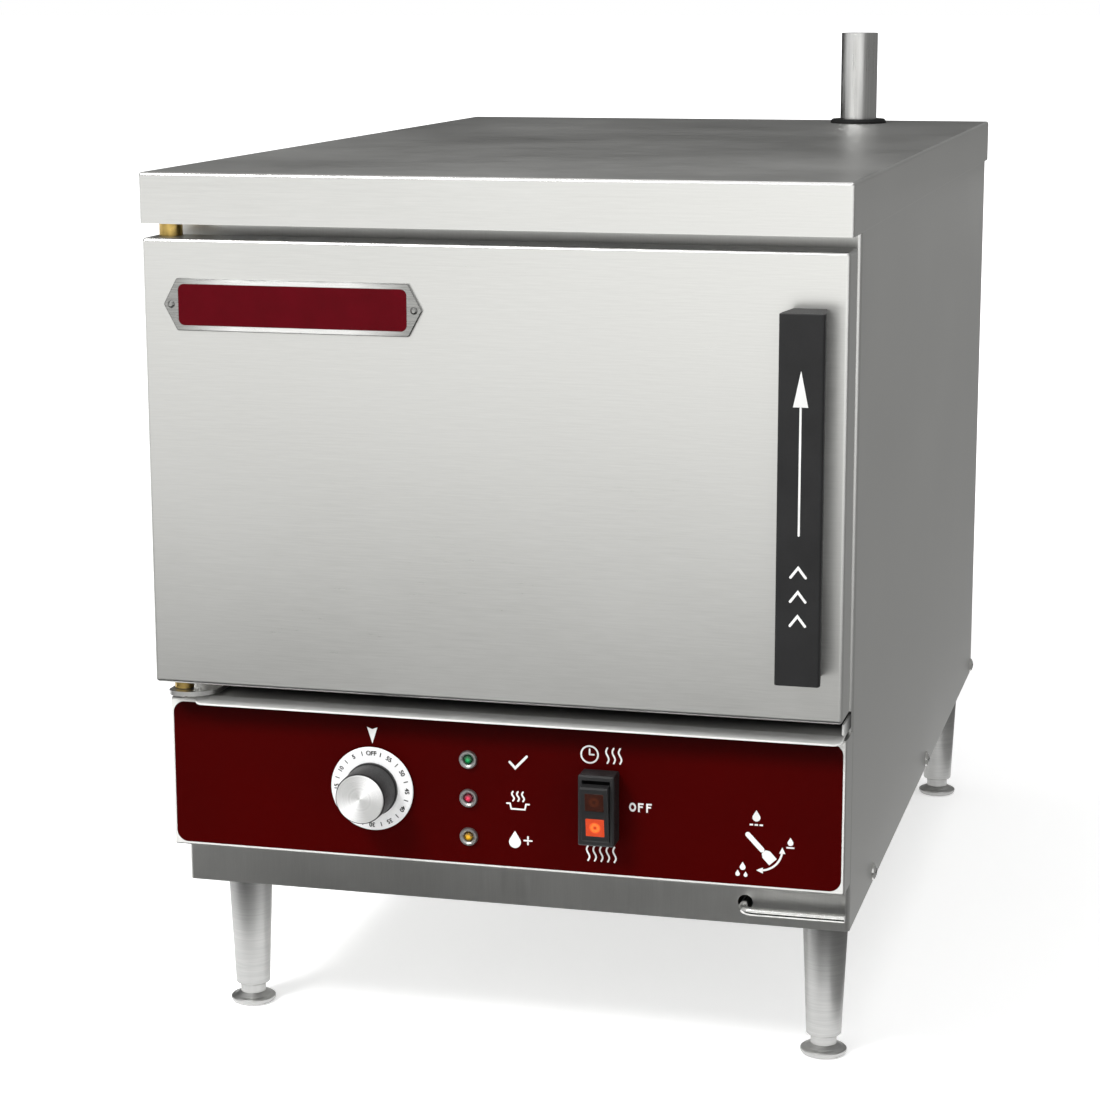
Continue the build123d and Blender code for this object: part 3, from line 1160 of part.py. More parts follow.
def badge():
    """A blank plate with pointed ends and a sunk field, and the two rivets that hold it."""
    front = DOOR_FRONT - BADGE_THICKNESS
    half = BADGE_HALF
    shoulder = BADGE_HALF - BADGE_END
    tall = BADGE_HEIGHT / 2
    outline = Polyline((-half, 0), (-shoulder, tall), (shoulder, tall), (half, 0),
                       (shoulder, -tall), (-shoulder, -tall), close=True)
    facing = Plane(origin=(BADGE_X, DOOR_FRONT, BADGE_Z), x_dir=(1, 0, 0), z_dir=(0, -1, 0))
    plate = extrude(facing * make_face(outline), amount=BADGE_THICKNESS)
    plate = fillet(plate.edges().filter_by(Axis.Y), BADGE_ROUND)
    plate = chamfer(plate.faces().sort_by(Axis.Y)[0].edges(), BADGE_BEVEL)
    plate -= badge_field()
    shank = RIVET_RADIUS / 2
    depth = BADGE_THICKNESS + DOOR_SHEET
    top = depth + RIVET_RADIUS / 2
    outline = ((0, 0), (shank, 0), (shank, depth), (RIVET_RADIUS, depth),
               (0.8 * RIVET_RADIUS, (depth + top) / 2), (shank, top), (0, top))
    pieces = []
    for x in BADGE_RIVETS:
        plate -= bar((x, front, BADGE_Z), (0, 1, 0), BADGE_THICKNESS, shank)
        pieces.append(turned(outline, (x, DOOR_FRONT + DOOR_SHEET, BADGE_Z), (0, -1, 0)))
    return [plate] + pieces


def badge_field():
    """The blank coloured field that fills the sunk middle of the badge."""
    front = DOOR_FRONT - BADGE_THICKNESS
    field = slab(BADGE_X - FIELD_WIDTH / 2, BADGE_X + FIELD_WIDTH / 2, front, front + FIELD_DEPTH,
                 BADGE_Z - FIELD_HEIGHT / 2, BADGE_Z + FIELD_HEIGHT / 2)
    return fillet(field.edges().filter_by(Axis.Y), FIELD_CORNER)


def handle_bar():
    """The lift bar: wide in front, narrower at the door, with softened long edges."""
    y0 = HANDLE_REAR - HANDLE_DEPTH
    wide = HANDLE_WIDTH / 2
    narrow = HANDLE_BACK_WIDTH / 2
    outline = Polyline(
        (-narrow, HANDLE_REAR), (narrow, HANDLE_REAR), (wide, y0 + HANDLE_SHOULDER), (wide, y0),
        (-wide, y0), (-wide, y0 + HANDLE_SHOULDER), close=True,
    )
    face = Pos(HANDLE_X, 0, HANDLE_LOW) * make_face(outline)
    grip = extrude(face, amount=HANDLE_LENGTH)
    long_edges = [edge for edge in grip.edges().filter_by(Axis.Z) if edge.center().Y < y0 + 1]
    grip = fillet(long_edges, HANDLE_SHOULDER / 2)
    front = [edge for edge in grip.edges() if edge.center().Y < y0 + EDGE_ROUND / 2]
    ends = [edge for edge in front if abs(edge.center().Z - HANDLE_MIDDLE) > HANDLE_LENGTH / 2 - 1]
    grip = fillet([edge for edge in ends if edge.length > wide], EDGE_ROUND)
    for z in HANDLE_STUDS:
        grip -= bar((HANDLE_X, HANDLE_REAR - STUD_SEAT, z), (0, 1, 0), STUD_SEAT, HANDLE_STUD)
    return grip


def latch_slide():
    """Two studs, the flat slide inside the door and two hooks with ramped noses."""
    z0 = HANDLE_STUDS[0] - SLIDE_BELOW
    z1 = HANDLE_STUDS[1] + SLIDE_WIDTH
    half = SLIDE_WIDTH / 2
    slide = slab(HANDLE_X - half, HANDLE_X + half, SLIDE_Y, SLIDE_Y + SLIDE_SHEET, z0, z1)
    slide = fillet(slide.edges().filter_by(Axis.Y), half - 1)
    stud_start = HANDLE_REAR - STUD_SEAT
    for z in HANDLE_STUDS:
        slide += bar((HANDLE_X, stud_start, z), (0, 1, 0), SLIDE_Y - stud_start, HANDLE_STUD)
    root = SLIDE_Y + SLIDE_SHEET
    nose_start = KEEPER_PIN_Y + KEEPER_PIN + HOOK_CLEARANCE
    nose_end = nose_start + HOOK_NOSE
    for z in KEEPER_ZS:
        arm_low = z + KEEPER_PIN + HOOK_CLEARANCE
        arm_high = arm_low + HOOK_ARM
        tip = z - HOOK_DROP / 2
        outline = (
            (root, arm_low), (nose_start, arm_low), (nose_start, tip), (nose_start + 1, tip),
            (nose_end, tip + HOOK_RAMP), (nose_end, arm_high - HOOK_CHAMFER),
            (nose_end - HOOK_CHAMFER, arm_high), (root, arm_high),
        )
        slide += across(outline, HANDLE_X - HOOK_WIDTH / 2, HANDLE_X + HOOK_WIDTH / 2)
    return slide


def latch_keepers():
    """Two U brackets on the front of the casing, each with a cross pin for a hook."""
    inner = KEEPER_GAP / 2
    half = inner + KEEPER_EAR
    round_end = 2 * KEEPER_PIN
    pieces = []
    for z in KEEPER_ZS:
        base = slab(HANDLE_X - half, HANDLE_X + half, BODY_FRONT - KEEPER_EAR, BODY_FRONT,
                    z - KEEPER_HEIGHT / 2, z + KEEPER_HEIGHT / 2)
        for x in (HANDLE_X - half, HANDLE_X + inner):
            ear = slab(x, x + KEEPER_EAR, KEEPER_PIN_Y - round_end, BODY_FRONT, z - round_end, z + round_end)
            nose = [edge for edge in ear.edges().filter_by(Axis.X) if edge.center().Y < KEEPER_PIN_Y]
            base += fillet(nose, round_end - 1)
        base += bar((HANDLE_X - half, KEEPER_PIN_Y, z), (1, 0, 0), 2 * half, KEEPER_PIN)
        pieces.append(base)
    return pieces


def timer_body():
    """The clockwork timer behind the panel with its threaded bushing."""
    half = TIMER_BODY / 2
    start = PANEL_FRONT + BODY_SHEET
    body = slab(KNOB_X - half, KNOB_X + half, start, start + TIMER_DEPTH,
                KNOB_HEIGHT - half, KNOB_HEIGHT + half)
    body = fillet(body.edges().filter_by(Axis.Y), TIMER_CORNER)
    nose = OVERLAY_FRONT - 1
    body += bar((KNOB_X, nose, KNOB_HEIGHT), (0, 1, 0), start - nose, TIMER_BUSHING)
    depth = start + TIMER_BORE_DEPTH - nose
    return body - bar((KNOB_X, nose, KNOB_HEIGHT), (0, 1, 0), depth, TIMER_SHAFT + RUNNING_GAP)


def timer_knob():
    """The knob with its shaft: a drum with a shallow taper and a recess for the metal cap."""
    back = OVERLAY_FRONT - DIAL_GAP - DIAL_SHEET
    length = KNOB_LENGTH
    skirt = KNOB_RADIUS + KNOB_SKIRT
    seat = length - CAP_THICKNESS
    outline = (
        (0, 0), (skirt, 0), (skirt, 2 * CAP_THICKNESS), (KNOB_RADIUS, 3 * CAP_THICKNESS),
        (KNOB_RADIUS - KNOB_TAPER, length - CAP_THICKNESS), (KNOB_RADIUS - 2 * KNOB_TAPER, length),
        (CAP_RADIUS, length), (CAP_RADIUS, seat), (0, seat),
    )
    knob = turned(outline, (KNOB_X, back, KNOB_HEIGHT), (0, -1, 0))
    shaft_end = PANEL_FRONT + BODY_SHEET + TIMER_SHAFT_DEPTH
    return knob + bar((KNOB_X, back, KNOB_HEIGHT), (0, 1, 0), shaft_end - back, TIMER_SHAFT)


def timer_dial():
    """The white dial disc that turns with the knob, slightly dished towards its rim."""
    back = OVERLAY_FRONT - DIAL_GAP
    edge = DIAL_EDGE
    outline = (
        (TIMER_SHAFT, 0), (DIAL_RADIUS - edge, 0), (DIAL_RADIUS, edge),
        (DIAL_RADIUS - edge, DIAL_SHEET - edge), (DIAL_RADIUS - DIAL_SLOPE, DIAL_SHEET),
        (TIMER_SHAFT, DIAL_SHEET),
    )
    return turned(outline, (KNOB_X, back, KNOB_HEIGHT), (0, -1, 0))


def timer_cap():
    """The spun metal cap in the front of the knob."""
    back = OVERLAY_FRONT - DIAL_GAP - DIAL_SHEET - KNOB_LENGTH + CAP_THICKNESS
    rise = CAP_THICKNESS + CAP_CROWN
    outline = ((0, 0), (CAP_RADIUS, 0), (CAP_RADIUS, CAP_THICKNESS), (CAP_RADIUS - CAP_CROWN, rise), (0, rise))
    return turned(outline, (KNOB_X, back, KNOB_HEIGHT), (0, -1, 0))


def pilot_lamps():
    """Three lamp bodies through the panel with cupped metal bezels."""
    outline = (
        (LENS_RADIUS, BEZEL_INNER), (LENS_RADIUS + BEZEL_EDGE, BEZEL_INNER + 1),
        (LAMP_RADIUS - BEZEL_SLOPE, BEZEL_CREST), (LAMP_RADIUS - BEZEL_EDGE, BEZEL_CREST),
        (LAMP_RADIUS, 1), (LAMP_RADIUS, 0), (LAMP_BODY, 0), (LAMP_BODY, -LAMP_LENGTH),
        (0, -LAMP_LENGTH), (0, -1), (LENS_RADIUS, -1),
    )
    return [turned(outline, (LAMP_X, OVERLAY_FRONT, LAMP_HEIGHT + rise), (0, -1, 0))
            for colour, rise in LAMP_PLACES]


def lamp_lens(rise):
    """A small domed lens in the middle of a bezel."""
    outline = (
        (0, -1), (LENS_RADIUS, -1), (LENS_RADIUS, BEZEL_INNER), (0.86 * LENS_RADIUS, 0.7 * LENS_CREST),
        (LENS_RADIUS / 2, 0.93 * LENS_CREST), (0, LENS_CREST),
    )
    return turned(outline, (LAMP_X, OVERLAY_FRONT, LAMP_HEIGHT + rise), (0, -1, 0))


def switch_housing():
    """The switch: a deep bezel in front with the rocker's well, and the body behind."""
    half_x = SWITCH_WIDTH / 2
    half_z = SWITCH_HEIGHT / 2
    bezel = slab(SWITCH_X - half_x, SWITCH_X + half_x, SWITCH_FRONT, OVERLAY_FRONT,
                 SWITCH_MIDDLE - half_z, SWITCH_MIDDLE + half_z)
    bezel = fillet(bezel.edges().filter_by(Axis.Y), 2 * EDGE_ROUND)
    bezel = chamfer(bezel.faces().sort_by(Axis.Y)[0].edges(), SWITCH_BEZEL / 2)
    back_x = half_x - SWITCH_BEZEL
    back_z = half_z - SWITCH_BEZEL
    back_y = OVERLAY_FRONT + SWITCH_BODY
    body = slab(SWITCH_X - back_x, SWITCH_X + back_x, OVERLAY_FRONT, back_y,
                SWITCH_MIDDLE - back_z, SWITCH_MIDDLE + back_z)
    for rise in (-TERMINAL_PITCH, 0, TERMINAL_PITCH):
        z = SWITCH_MIDDLE + rise
        body += slab(SWITCH_X - TERMINAL_HALF, SWITCH_X + TERMINAL_HALF, back_y, back_y + TERMINAL_LENGTH,
                     z - TERMINAL_SHEET / 2, z + TERMINAL_SHEET / 2)
    room_x = ROCKER_WIDTH / 2 + ROCKER_SIDE_GAP
    room_z = ROCKER_HEIGHT / 2 + ROCKER_END_GAP
    well = slab(SWITCH_X - room_x, SWITCH_X + room_x, SWITCH_FRONT, OVERLAY_FRONT - 1,
                SWITCH_MIDDLE - room_z, SWITCH_MIDDLE + room_z)
    housing = bezel + body - fillet(well.edges().filter_by(Axis.Y), EDGE_ROUND)
    reach = room_x + TRUNNION
    seat = TRUNNION + RUNNING_GAP
    return housing - bar((SWITCH_X - reach, ROCKER_Y, SWITCH_MIDDLE), (1, 0, 0), 2 * reach, seat)


def tipped(solid):
    """A rocker piece tipped to its rest position, with the lower end pressed in."""
    centre = Pos(0, ROCKER_Y, SWITCH_MIDDLE)
    return centre * Rot(ROCKER_TILT, 0, 0) * centre.inverse() * solid


def rocker_blank():
    """The rocker before it is tipped: a flat face, a rounded back and two trunnions."""
    front = ROCKER_Y - ROCKER_PIVOT
    half = ROCKER_HEIGHT / 2
    low = SWITCH_MIDDLE - half
    high = SWITCH_MIDDLE + half
    heel = ROCKER_Y + ROCKER_HEEL
    outline = (
        (front + EDGE_ROUND, low), (front, low + 2 * EDGE_ROUND), (front + EDGE_ROUND, SWITCH_MIDDLE),
        (front, high - 2 * EDGE_ROUND), (front + EDGE_ROUND, high), (front + ROCKER_PIVOT / 2, high),
        (heel, SWITCH_MIDDLE + HEEL_HALF), (heel, SWITCH_MIDDLE - HEEL_HALF),
        (front + ROCKER_PIVOT / 2, low),
    )
    body = across(outline, SWITCH_X - ROCKER_WIDTH / 2, SWITCH_X + ROCKER_WIDTH / 2)
    reach = ROCKER_WIDTH / 2 + ROCKER_SIDE_GAP + TRUNNION - LOOSE_GAP
    return body + bar((SWITCH_X - reach, ROCKER_Y, SWITCH_MIDDLE), (1, 0, 0), 2 * reach, TRUNNION)


def rocker_windows():
    """The two square lenses let into the rocker's face."""
    front = ROCKER_Y - ROCKER_PIVOT + LENS_SUNK
    half = LENS_WINDOW / 2
    windows = []
    for side in (-1, 1):
        z = SWITCH_MIDDLE + side * (ROCKER_HEIGHT / 2 - LENS_FROM_END - half)
        window = slab(SWITCH_X - half, SWITCH_X + half, front, front + LENS_DEPTH, z - half, z + half)
        windows.append(fillet(window.edges().filter_by(Axis.Y), EDGE_ROUND))
    return windows


def switch_rocker():
    """The rocker with its window pockets, tipped to the lit lower position."""
    rocker = rocker_blank()
    for window in rocker_windows():
        rocker -= window
    return tipped(rocker)


def rocker_lenses():
    """The two lenses of the rocker, tipped with it."""
    return [tipped(window) for window in rocker_windows()]


def contactor():
    """The heating contactor on the base pan, with its terminal shelf."""
    floor = BASE_HEIGHT + BODY_SHEET
    half = CONTACTOR_WIDTH / 2
    step = floor + CONTACTOR_STEP
    y0 = CONTACTOR_Y
    y1 = y0 + CONTACTOR_DEPTH
    body = slab(-half, half, y0, y1, floor, step)
    body += slab(-half + CONTACTOR_SHELF, half - CONTACTOR_SHELF, y0 + 2 * CONTACTOR_SHELF,
                 y1 - 2 * CONTACTOR_SHELF, step, floor + CONTACTOR_HEIGHT)
    return body - slab(-half, half, y0, y0 + CONTACTOR_SHELF, floor + CONTACTOR_STEP / 2, step)


def terminal_block():
    """The mains terminal block near the cable gland."""
    floor = BASE_HEIGHT + BODY_SHEET
    base_top = floor + WAY_FLOOR
    y0 = BACK_PANEL_FRONT - TERMINAL_FROM_BACK
    y1 = y0 + TERMINAL_DEPTH
    half = WAY_COUNT * WAY_PITCH / 2
    block = slab(GLAND_X - half, GLAND_X + half, y0, y1, floor, base_top)
    for way in range(WAY_COUNT):
        x = GLAND_X - half + WAY_PITCH * (way + 0.5)
        block += slab(x - WAY_HALF, x + WAY_HALF, y0 + WAY_HALF / 2, y1 - WAY_HALF / 2,
                      base_top, base_top + WAY_HEIGHT)
        block -= slab(x - WAY_HALF / 2, x + WAY_HALF / 2, y0, y1, base_top + 1, base_top + WAY_HEIGHT - 2)
    return block


def power_gland():
    """The cable gland in the back: thread, lock nut, hexagon and a rounded nose."""
    outer = GLAND_THREAD + GLAND_NUT_RISE
    start = BACK_PANEL_FRONT - GLAND_NUT
    wall_end = BACK_PANEL_REAR - start
    body = GLAND_THREAD + GLAND_NUT_RISE / 2
    nose = GLAND_BORE + GLAND_NUT_RISE / 2
    end = wall_end + GLAND_LENGTH
    outline = (
        (GLAND_BORE, 0), (outer, 0), (outer, GLAND_NUT), (GLAND_THREAD, GLAND_NUT),
        (GLAND_THREAD, wall_end),
        (outer, wall_end), (outer, wall_end + GLAND_NUT - 1), (body, wall_end + GLAND_NUT),
        (body, end - GLAND_NOSE), (nose, end), (GLAND_BORE, end),
    )
    return turned(outline, (GLAND_X, start, GLAND_Z), (0, 1, 0))


def leg(x, y):
    """A tapered leg with a stud on top and a blind bore for the foot's stud."""
    bore = FOOT_STUD + RUNNING_GAP
    top = BASE_HEIGHT
    stud_top = top + BODY_SHEET + MOUNT_THICKNESS
    bore_top = LEG_BOTTOM + FOOT_STUD_LENGTH + 2
    outline = (
        (bore, LEG_BOTTOM), (LEG_BOTTOM_RADIUS - EDGE_ROUND, LEG_BOTTOM),
        (LEG_BOTTOM_RADIUS, LEG_BOTTOM + EDGE_ROUND), (LEG_TOP_RADIUS, top - LEG_COLLAR),
        (LEG_TOP_RADIUS, top), (LEG_STUD, top), (LEG_STUD, stud_top), (0, stud_top),
        (0, bore_top), (bore, bore_top),
    )
    return turned(outline, (x, y, 0), (0, 0, 1))


def leg_mounts():
    """Four plates on the base pan that the leg studs screw into."""
    half = MOUNT_PLATE / 2
    low = BASE_HEIGHT + BODY_SHEET
    side_wall = BODY_INSIDE - BODY_SHEET - LOOSE_GAP
    rear_wall = BACK_PANEL_FRONT - BODY_SHEET - LOOSE_GAP
    pieces = []
    for name, x, y in LEG_PLACES:
        outside = min(half, side_wall - abs(x))
        x0 = x - half if x > 0 else x - outside
        x1 = x + outside if x > 0 else x + half
        plate = slab(x0, x1, y - half, y + min(half, rear_wall - y), low, low + MOUNT_THICKNESS)
        plate = chamfer(plate.edges().filter_by(Axis.Z), MOUNT_CORNER)
        pieces.append(plate - bar((x, y, low), (0, 0, 1), MOUNT_THICKNESS, LEG_STUD))
    return pieces


def foot(x, y):
    """A screw-out foot: a rounded flange, a tapered collar and the stud inside the leg."""
    neck_top = LEG_BOTTOM - LOOSE_GAP
    stud_top = neck_top + FOOT_STUD_LENGTH
    outline = (
        (0, 0), (FOOT_SOLE, 0), (FOOT_RADIUS - 1, FOOT_ROUND), (FOOT_RADIUS, 3 * FOOT_ROUND),
        (FOOT_RADIUS, FOOT_HEIGHT - 2 * FOOT_ROUND), (FOOT_RADIUS - 1, FOOT_HEIGHT - FOOT_ROUND),
        (FOOT_SOLE, FOOT_HEIGHT), (FOOT_NECK, FOOT_HEIGHT + 3 * FOOT_ROUND), (FOOT_NECK, neck_top),
        (FOOT_STUD, neck_top), (FOOT_STUD, stud_top), (0, stud_top),
    )
    return turned(outline, (x, y, 0), (0, 0, 1))


def screw(place, direction):
    """A truss-head screw with its head outside and its shank inward."""
    depth = SCREW_LENGTH
    rise = SCREW_HEAD_HEIGHT
    outline = (
        (0, 0), (SCREW_SHANK, 0), (SCREW_SHANK, depth), (SCREW_HEAD, depth),
        (0.92 * SCREW_HEAD, depth + 0.45 * rise), (0.6 * SCREW_HEAD, depth + 0.85 * rise), (0, depth + rise),
    )
    start = Vector(*place) - Vector(*direction) * depth
    return turned(outline, start, direction)


def panel_screws():
    """The screws along the foot of both sides and round the back."""
    pieces = []
    for y in SCREW_YS:
        for side in (-1, 1):
            pieces.append(screw((side * BODY_HALF, y, SCREW_Z), (side, 0, 0)))
    for x, z in BACK_SCREWS:
        pieces.append(screw((x, BODY_REAR, z), (0, 1, 0)))
    return pieces


def write(name, shape):
    """Move a piece, or a group of pieces, to the part's origin and write its file."""
    solids = shape if isinstance(shape, list) else [shape]
    placed = [Pos(0, -MIDDLE_Y, 0) * solid for solid in solids]
    whole = placed[0] if len(placed) == 1 else Compound(children=placed)
    export_step(whole, os.path.join("parts", name + ".step"))


def main():
    os.makedirs("parts", exist_ok=True)
    write("top_cover", top_cover())
    write("body_wrapper", body_wrapper())
    write("base_pan", base_pan())
    write("back_panel", back_panel())
    write("control_housing", control_housing())
    write("panel_overlay", panel_overlay())
    write("drip_gutter", drip_gutter())
    write("cooking_chamber", cooking_chamber())
    write("water_well", water_well())
    write("chamber_insulation", chamber_insulation())
    write("rack_studs", rack_studs())
    write("pan_rack_left", pan_rack(-1))
    write("pan_rack_right", pan_rack(1))
    write("fan_guard", fan_guard())
    write("fan_wheel", fan_wheel())
    write("fan_motor", fan_motor())
    write("heater_plate", heater_plate())
    write("water_level_probe", water_level_probe())
    write("thermostat", thermostat())
    write("drain_pipe", drain_pipe())
    write("drain_valve", drain_valve())
    write("drain_outlet", drain_outlet())
    write("drain_nipple", drain_nipple())
    write("drain_lever", drain_lever())
    write("vent_pipe", vent_pipe())
    write("vent_grommet", vent_grommet())
    write("hinge_brackets", hinge_brackets())
    write("hinge_pins", hinge_pins())
    write("hinge_bushes", hinge_bushes())
    write("hinge_blocks", hinge_blocks())
    write("door_skin", door_skin())
    write("door_liner", door_liner())
    write("door_insulation", door_insulation())
    write("door_gasket", door_gasket())
    write("badge_plate", badge())
    write("badge_field", badge_field())
    write("handle_bar", handle_bar())
    write("latch_slide", latch_slide())
    write("latch_keepers", latch_keepers())
    write("timer_body", timer_body())
    write("timer_knob", timer_knob())
    write("timer_dial", timer_dial())
    write("timer_cap", timer_cap())
    write("pilot_lamps", pilot_lamps())
    for colour, rise in LAMP_PLACES:
        write("lamp_lens_" + colour, lamp_lens(rise))
    write("switch_housing", switch_housing())
    write("switch_rocker", switch_rocker())
    write("rocker_lenses", rocker_lenses())
    write("contactor", contactor())
    write("terminal_block", terminal_block())
    write("power_gland", power_gland())
    write("legs", [leg(x, y) for name, x, y in LEG_PLACES])
    write("leg_mounts", leg_mounts())
    for name, x, y in LEG_PLACES:
        write("foot_" + name, foot(x, y))
    write("panel_screws", panel_screws())
    print("origin is", round(MIDDLE_Y, 3), "behind the cover's front face")


main()
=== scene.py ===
import bpy
import bmesh
import math
from mathutils import Matrix, Vector

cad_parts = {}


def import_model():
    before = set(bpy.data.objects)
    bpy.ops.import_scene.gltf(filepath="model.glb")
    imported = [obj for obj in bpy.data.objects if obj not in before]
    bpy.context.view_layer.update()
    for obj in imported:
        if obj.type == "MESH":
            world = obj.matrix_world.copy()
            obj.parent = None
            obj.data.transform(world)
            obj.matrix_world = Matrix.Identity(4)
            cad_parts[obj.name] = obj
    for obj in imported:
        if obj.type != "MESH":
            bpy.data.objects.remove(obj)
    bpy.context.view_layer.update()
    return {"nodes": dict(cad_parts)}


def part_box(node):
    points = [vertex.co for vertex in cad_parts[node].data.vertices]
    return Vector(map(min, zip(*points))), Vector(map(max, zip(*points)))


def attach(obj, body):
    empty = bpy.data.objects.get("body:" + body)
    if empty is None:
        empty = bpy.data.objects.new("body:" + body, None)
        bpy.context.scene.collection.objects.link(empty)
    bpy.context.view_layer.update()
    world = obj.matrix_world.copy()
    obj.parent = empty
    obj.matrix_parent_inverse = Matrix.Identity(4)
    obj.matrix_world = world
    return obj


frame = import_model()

NODES = frame["nodes"]

# The camera: place, direction and roll fitted to the object's corners, in metres and degrees
CAMERA_AT = Vector((0.4752, -2.04785, 0.7077))
CAMERA_AZIMUTH = 14.64
CAMERA_DOWN = 11.49
CAMERA_ROLL = -0.16
LENS = 91.05
SENSOR = 36.0
CLIP_END = 200.0

# Prints: their thickness, the gap between a print and its face, and the width of a thin line, in metres
PRINT = 0.00005
FINE_GAP = 0.00001
GAP = 0.00002
LINE = 0.0011


def middle_of(node):
    low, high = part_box(node)
    return (low + high) / 2


def half_size(node):
    low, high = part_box(node)
    return (high - low) / 2


def times(tint, factor):
    return tuple(min(1.0, factor * part) for part in tint)


# Node helpers
class Nodes:
    """A node tree in the making. Each method that adds nodes returns the output socket."""

    def __init__(self, tree):
        self.tree = tree

    def add(self, kind, **settings):
        node = self.tree.nodes.new(kind)
        for key, value in settings.items():
            setattr(node, key, value)
        return node

    def feed(self, socket, value):
        """Link a socket to another, or give it a plain value. A colour may leave its alpha out."""
        if isinstance(value, bpy.types.NodeSocket):
            self.tree.links.new(value, socket)
        elif socket.type == "RGBA" and len(value) == 3:
            socket.default_value = (*value, 1.0)
        else:
            socket.default_value = value

    def math(self, operation, a, b=0.0, clamp=False):
        node = self.add("ShaderNodeMath", operation=operation, use_clamp=clamp)
        self.feed(node.inputs[0], a)
        self.feed(node.inputs[1], b)
        return node.outputs[0]

    def hypotenuse(self, a, b):
        squares = (self.math("POWER", side, 2.0) for side in (a, b))
        return self.math("SQRT", self.math("ADD", *squares))

    def vector(self, operation, a, b=(0, 0, 0)):
        node = self.add("ShaderNodeVectorMath", operation=operation)
        self.feed(node.inputs[0], a)
        self.feed(node.inputs[1], b)
        return node.outputs["Value" if operation in ("LENGTH", "DOT_PRODUCT") else "Vector"]

    def split(self, vector):
        parts = self.add("ShaderNodeSeparateXYZ")
        self.feed(parts.inputs[0], vector)
        return parts.outputs

    def noise(self, vector, detail, roughness=0.5):
        node = self.add("ShaderNodeTexNoise")
        self.feed(node.inputs["Vector"], vector)
        node.inputs["Scale"].default_value = 1.0
        node.inputs["Detail"].default_value = detail
        node.inputs["Roughness"].default_value = roughness
        return node.outputs["Fac"]

    def spread(self, value, low, high, to_low=0.0, to_high=1.0):
        """Map low to to_low and high to to_high, and hold the value beyond them."""
        node = self.add("ShaderNodeMapRange")
        self.feed(node.inputs["Value"], value)
        node.inputs["From Min"].default_value = low
        node.inputs["From Max"].default_value = high
        node.inputs["To Min"].default_value = to_low
        node.inputs["To Max"].default_value = to_high
        return node.outputs["Result"]

    def mix(self, factor, a, b, kind="RGBA"):
        node = self.add("ShaderNodeMix", data_type=kind)
        self.feed(node.inputs["Factor"], factor)
        self.feed(node.inputs["A"], a)
        self.feed(node.inputs["B"], b)
        return node.outputs["Result"]

    def blend(self, factor, a, b):
        """Mix two numbers."""
        return self.mix(factor, a, b, "FLOAT")


class Look(Nodes):
    """A material in the making, with its shader and the object's own coordinates."""

    def __init__(self, name):
        self.mat = bpy.data.materials.new(name)
        self.mat.use_nodes = True
        super().__init__(self.mat.node_tree)
        self.shader = self.tree.nodes["Principled BSDF"]
        self.place = self.add("ShaderNodeTexCoord").outputs["Object"]

    def grain(self, scale, detail=2.0, roughness=0.5):
        """Noise over the object. scale is one number, or one for each axis."""
        if isinstance(scale, float):
            scale = (scale, scale, scale)
        return self.noise(self.vector("MULTIPLY", self.place, scale), detail, roughness)

    def varied(self, noise, low=0.0, high=1.0):
        """A value that follows a noise from low to high."""
        return self.spread(noise, 0.3, 0.7, low, high)

    def offset(self, node):
        """The three coordinates, from the middle of a CAD node."""
        return self.split(self.vector("SUBTRACT", self.place, tuple(middle_of(node))))

    def radius(self, node):
        """Distance from the axis along Y through the middle of a CAD node."""
        parts = self.offset(node)
        return self.hypotenuse(parts[0], parts[2])

    def facing(self, axis):
        """How much the surface faces along one axis of the object, from 0 to 1."""
        normal = self.add("ShaderNodeTexCoord").outputs["Normal"]
        return self.math("ABSOLUTE", self.split(normal)[axis])

    def edged(self, base, radius, amount, tint):
        """The base colour, turning to tint along the edges of the mesh."""
        gain = 6.0
        bevel = self.add("ShaderNodeBevel", samples=4)
        bevel.inputs["Radius"].default_value = radius
        normal = self.add("ShaderNodeNewGeometry").outputs["Normal"]
        flat = self.vector("DOT_PRODUCT", bevel.outputs["Normal"], normal)
        edge = self.math("MULTIPLY", self.math("SUBTRACT", 1.0, flat), gain, clamp=True)
        return self.mix(self.math("MULTIPLY", edge, amount), base, tint)

    def bump(self, height, strength, distance):
        node = self.add("ShaderNodeBump")
        node.inputs["Strength"].default_value = strength
        node.inputs["Distance"].default_value = distance
        self.feed(node.inputs["Height"], height)
        self.feed(self.shader.inputs["Normal"], node.outputs["Normal"])

    def set(self, **values):
        """Feed the shader's sockets and return the material."""
        for key, value in values.items():
            self.feed(self.shader.inputs[key.replace("_", " ")], value)
        return self.mat


def dress(material, *names):
    """Give CAD nodes a finished material."""
    for name in names:
        mesh = NODES[name].data
        mesh.materials.clear()
        mesh.materials.append(material)


# Metals. FINE and BAND are the fine and broad lines of brushed sheet per metre across it,
# and ALONG is how often the fine ones change along it.
STEEL_DARK = (0.50, 0.50, 0.487)
STEEL = (0.60, 0.60, 0.585)
STEEL_BRIGHT = (0.72, 0.72, 0.705)
LEG_TONES = ((0.44, 0.44, 0.435), (0.50, 0.50, 0.49), STEEL)
TUBE_TONES = ((0.46, 0.46, 0.455), (0.52, 0.52, 0.51), (0.6, 0.6, 0.59))
# The colour of the painted shade at the top of the legs, under the body.
PAINTED_SHADE_TINT = (0.12, 0.12, 0.118)
FINE = 950.0
BAND = 240.0
ALONG = 45.0


def line_scale(axis, across):
    """Noise scale for lines that run along one axis."""
    return tuple(ALONG * across / FINE if i == axis else across for i in range(3))


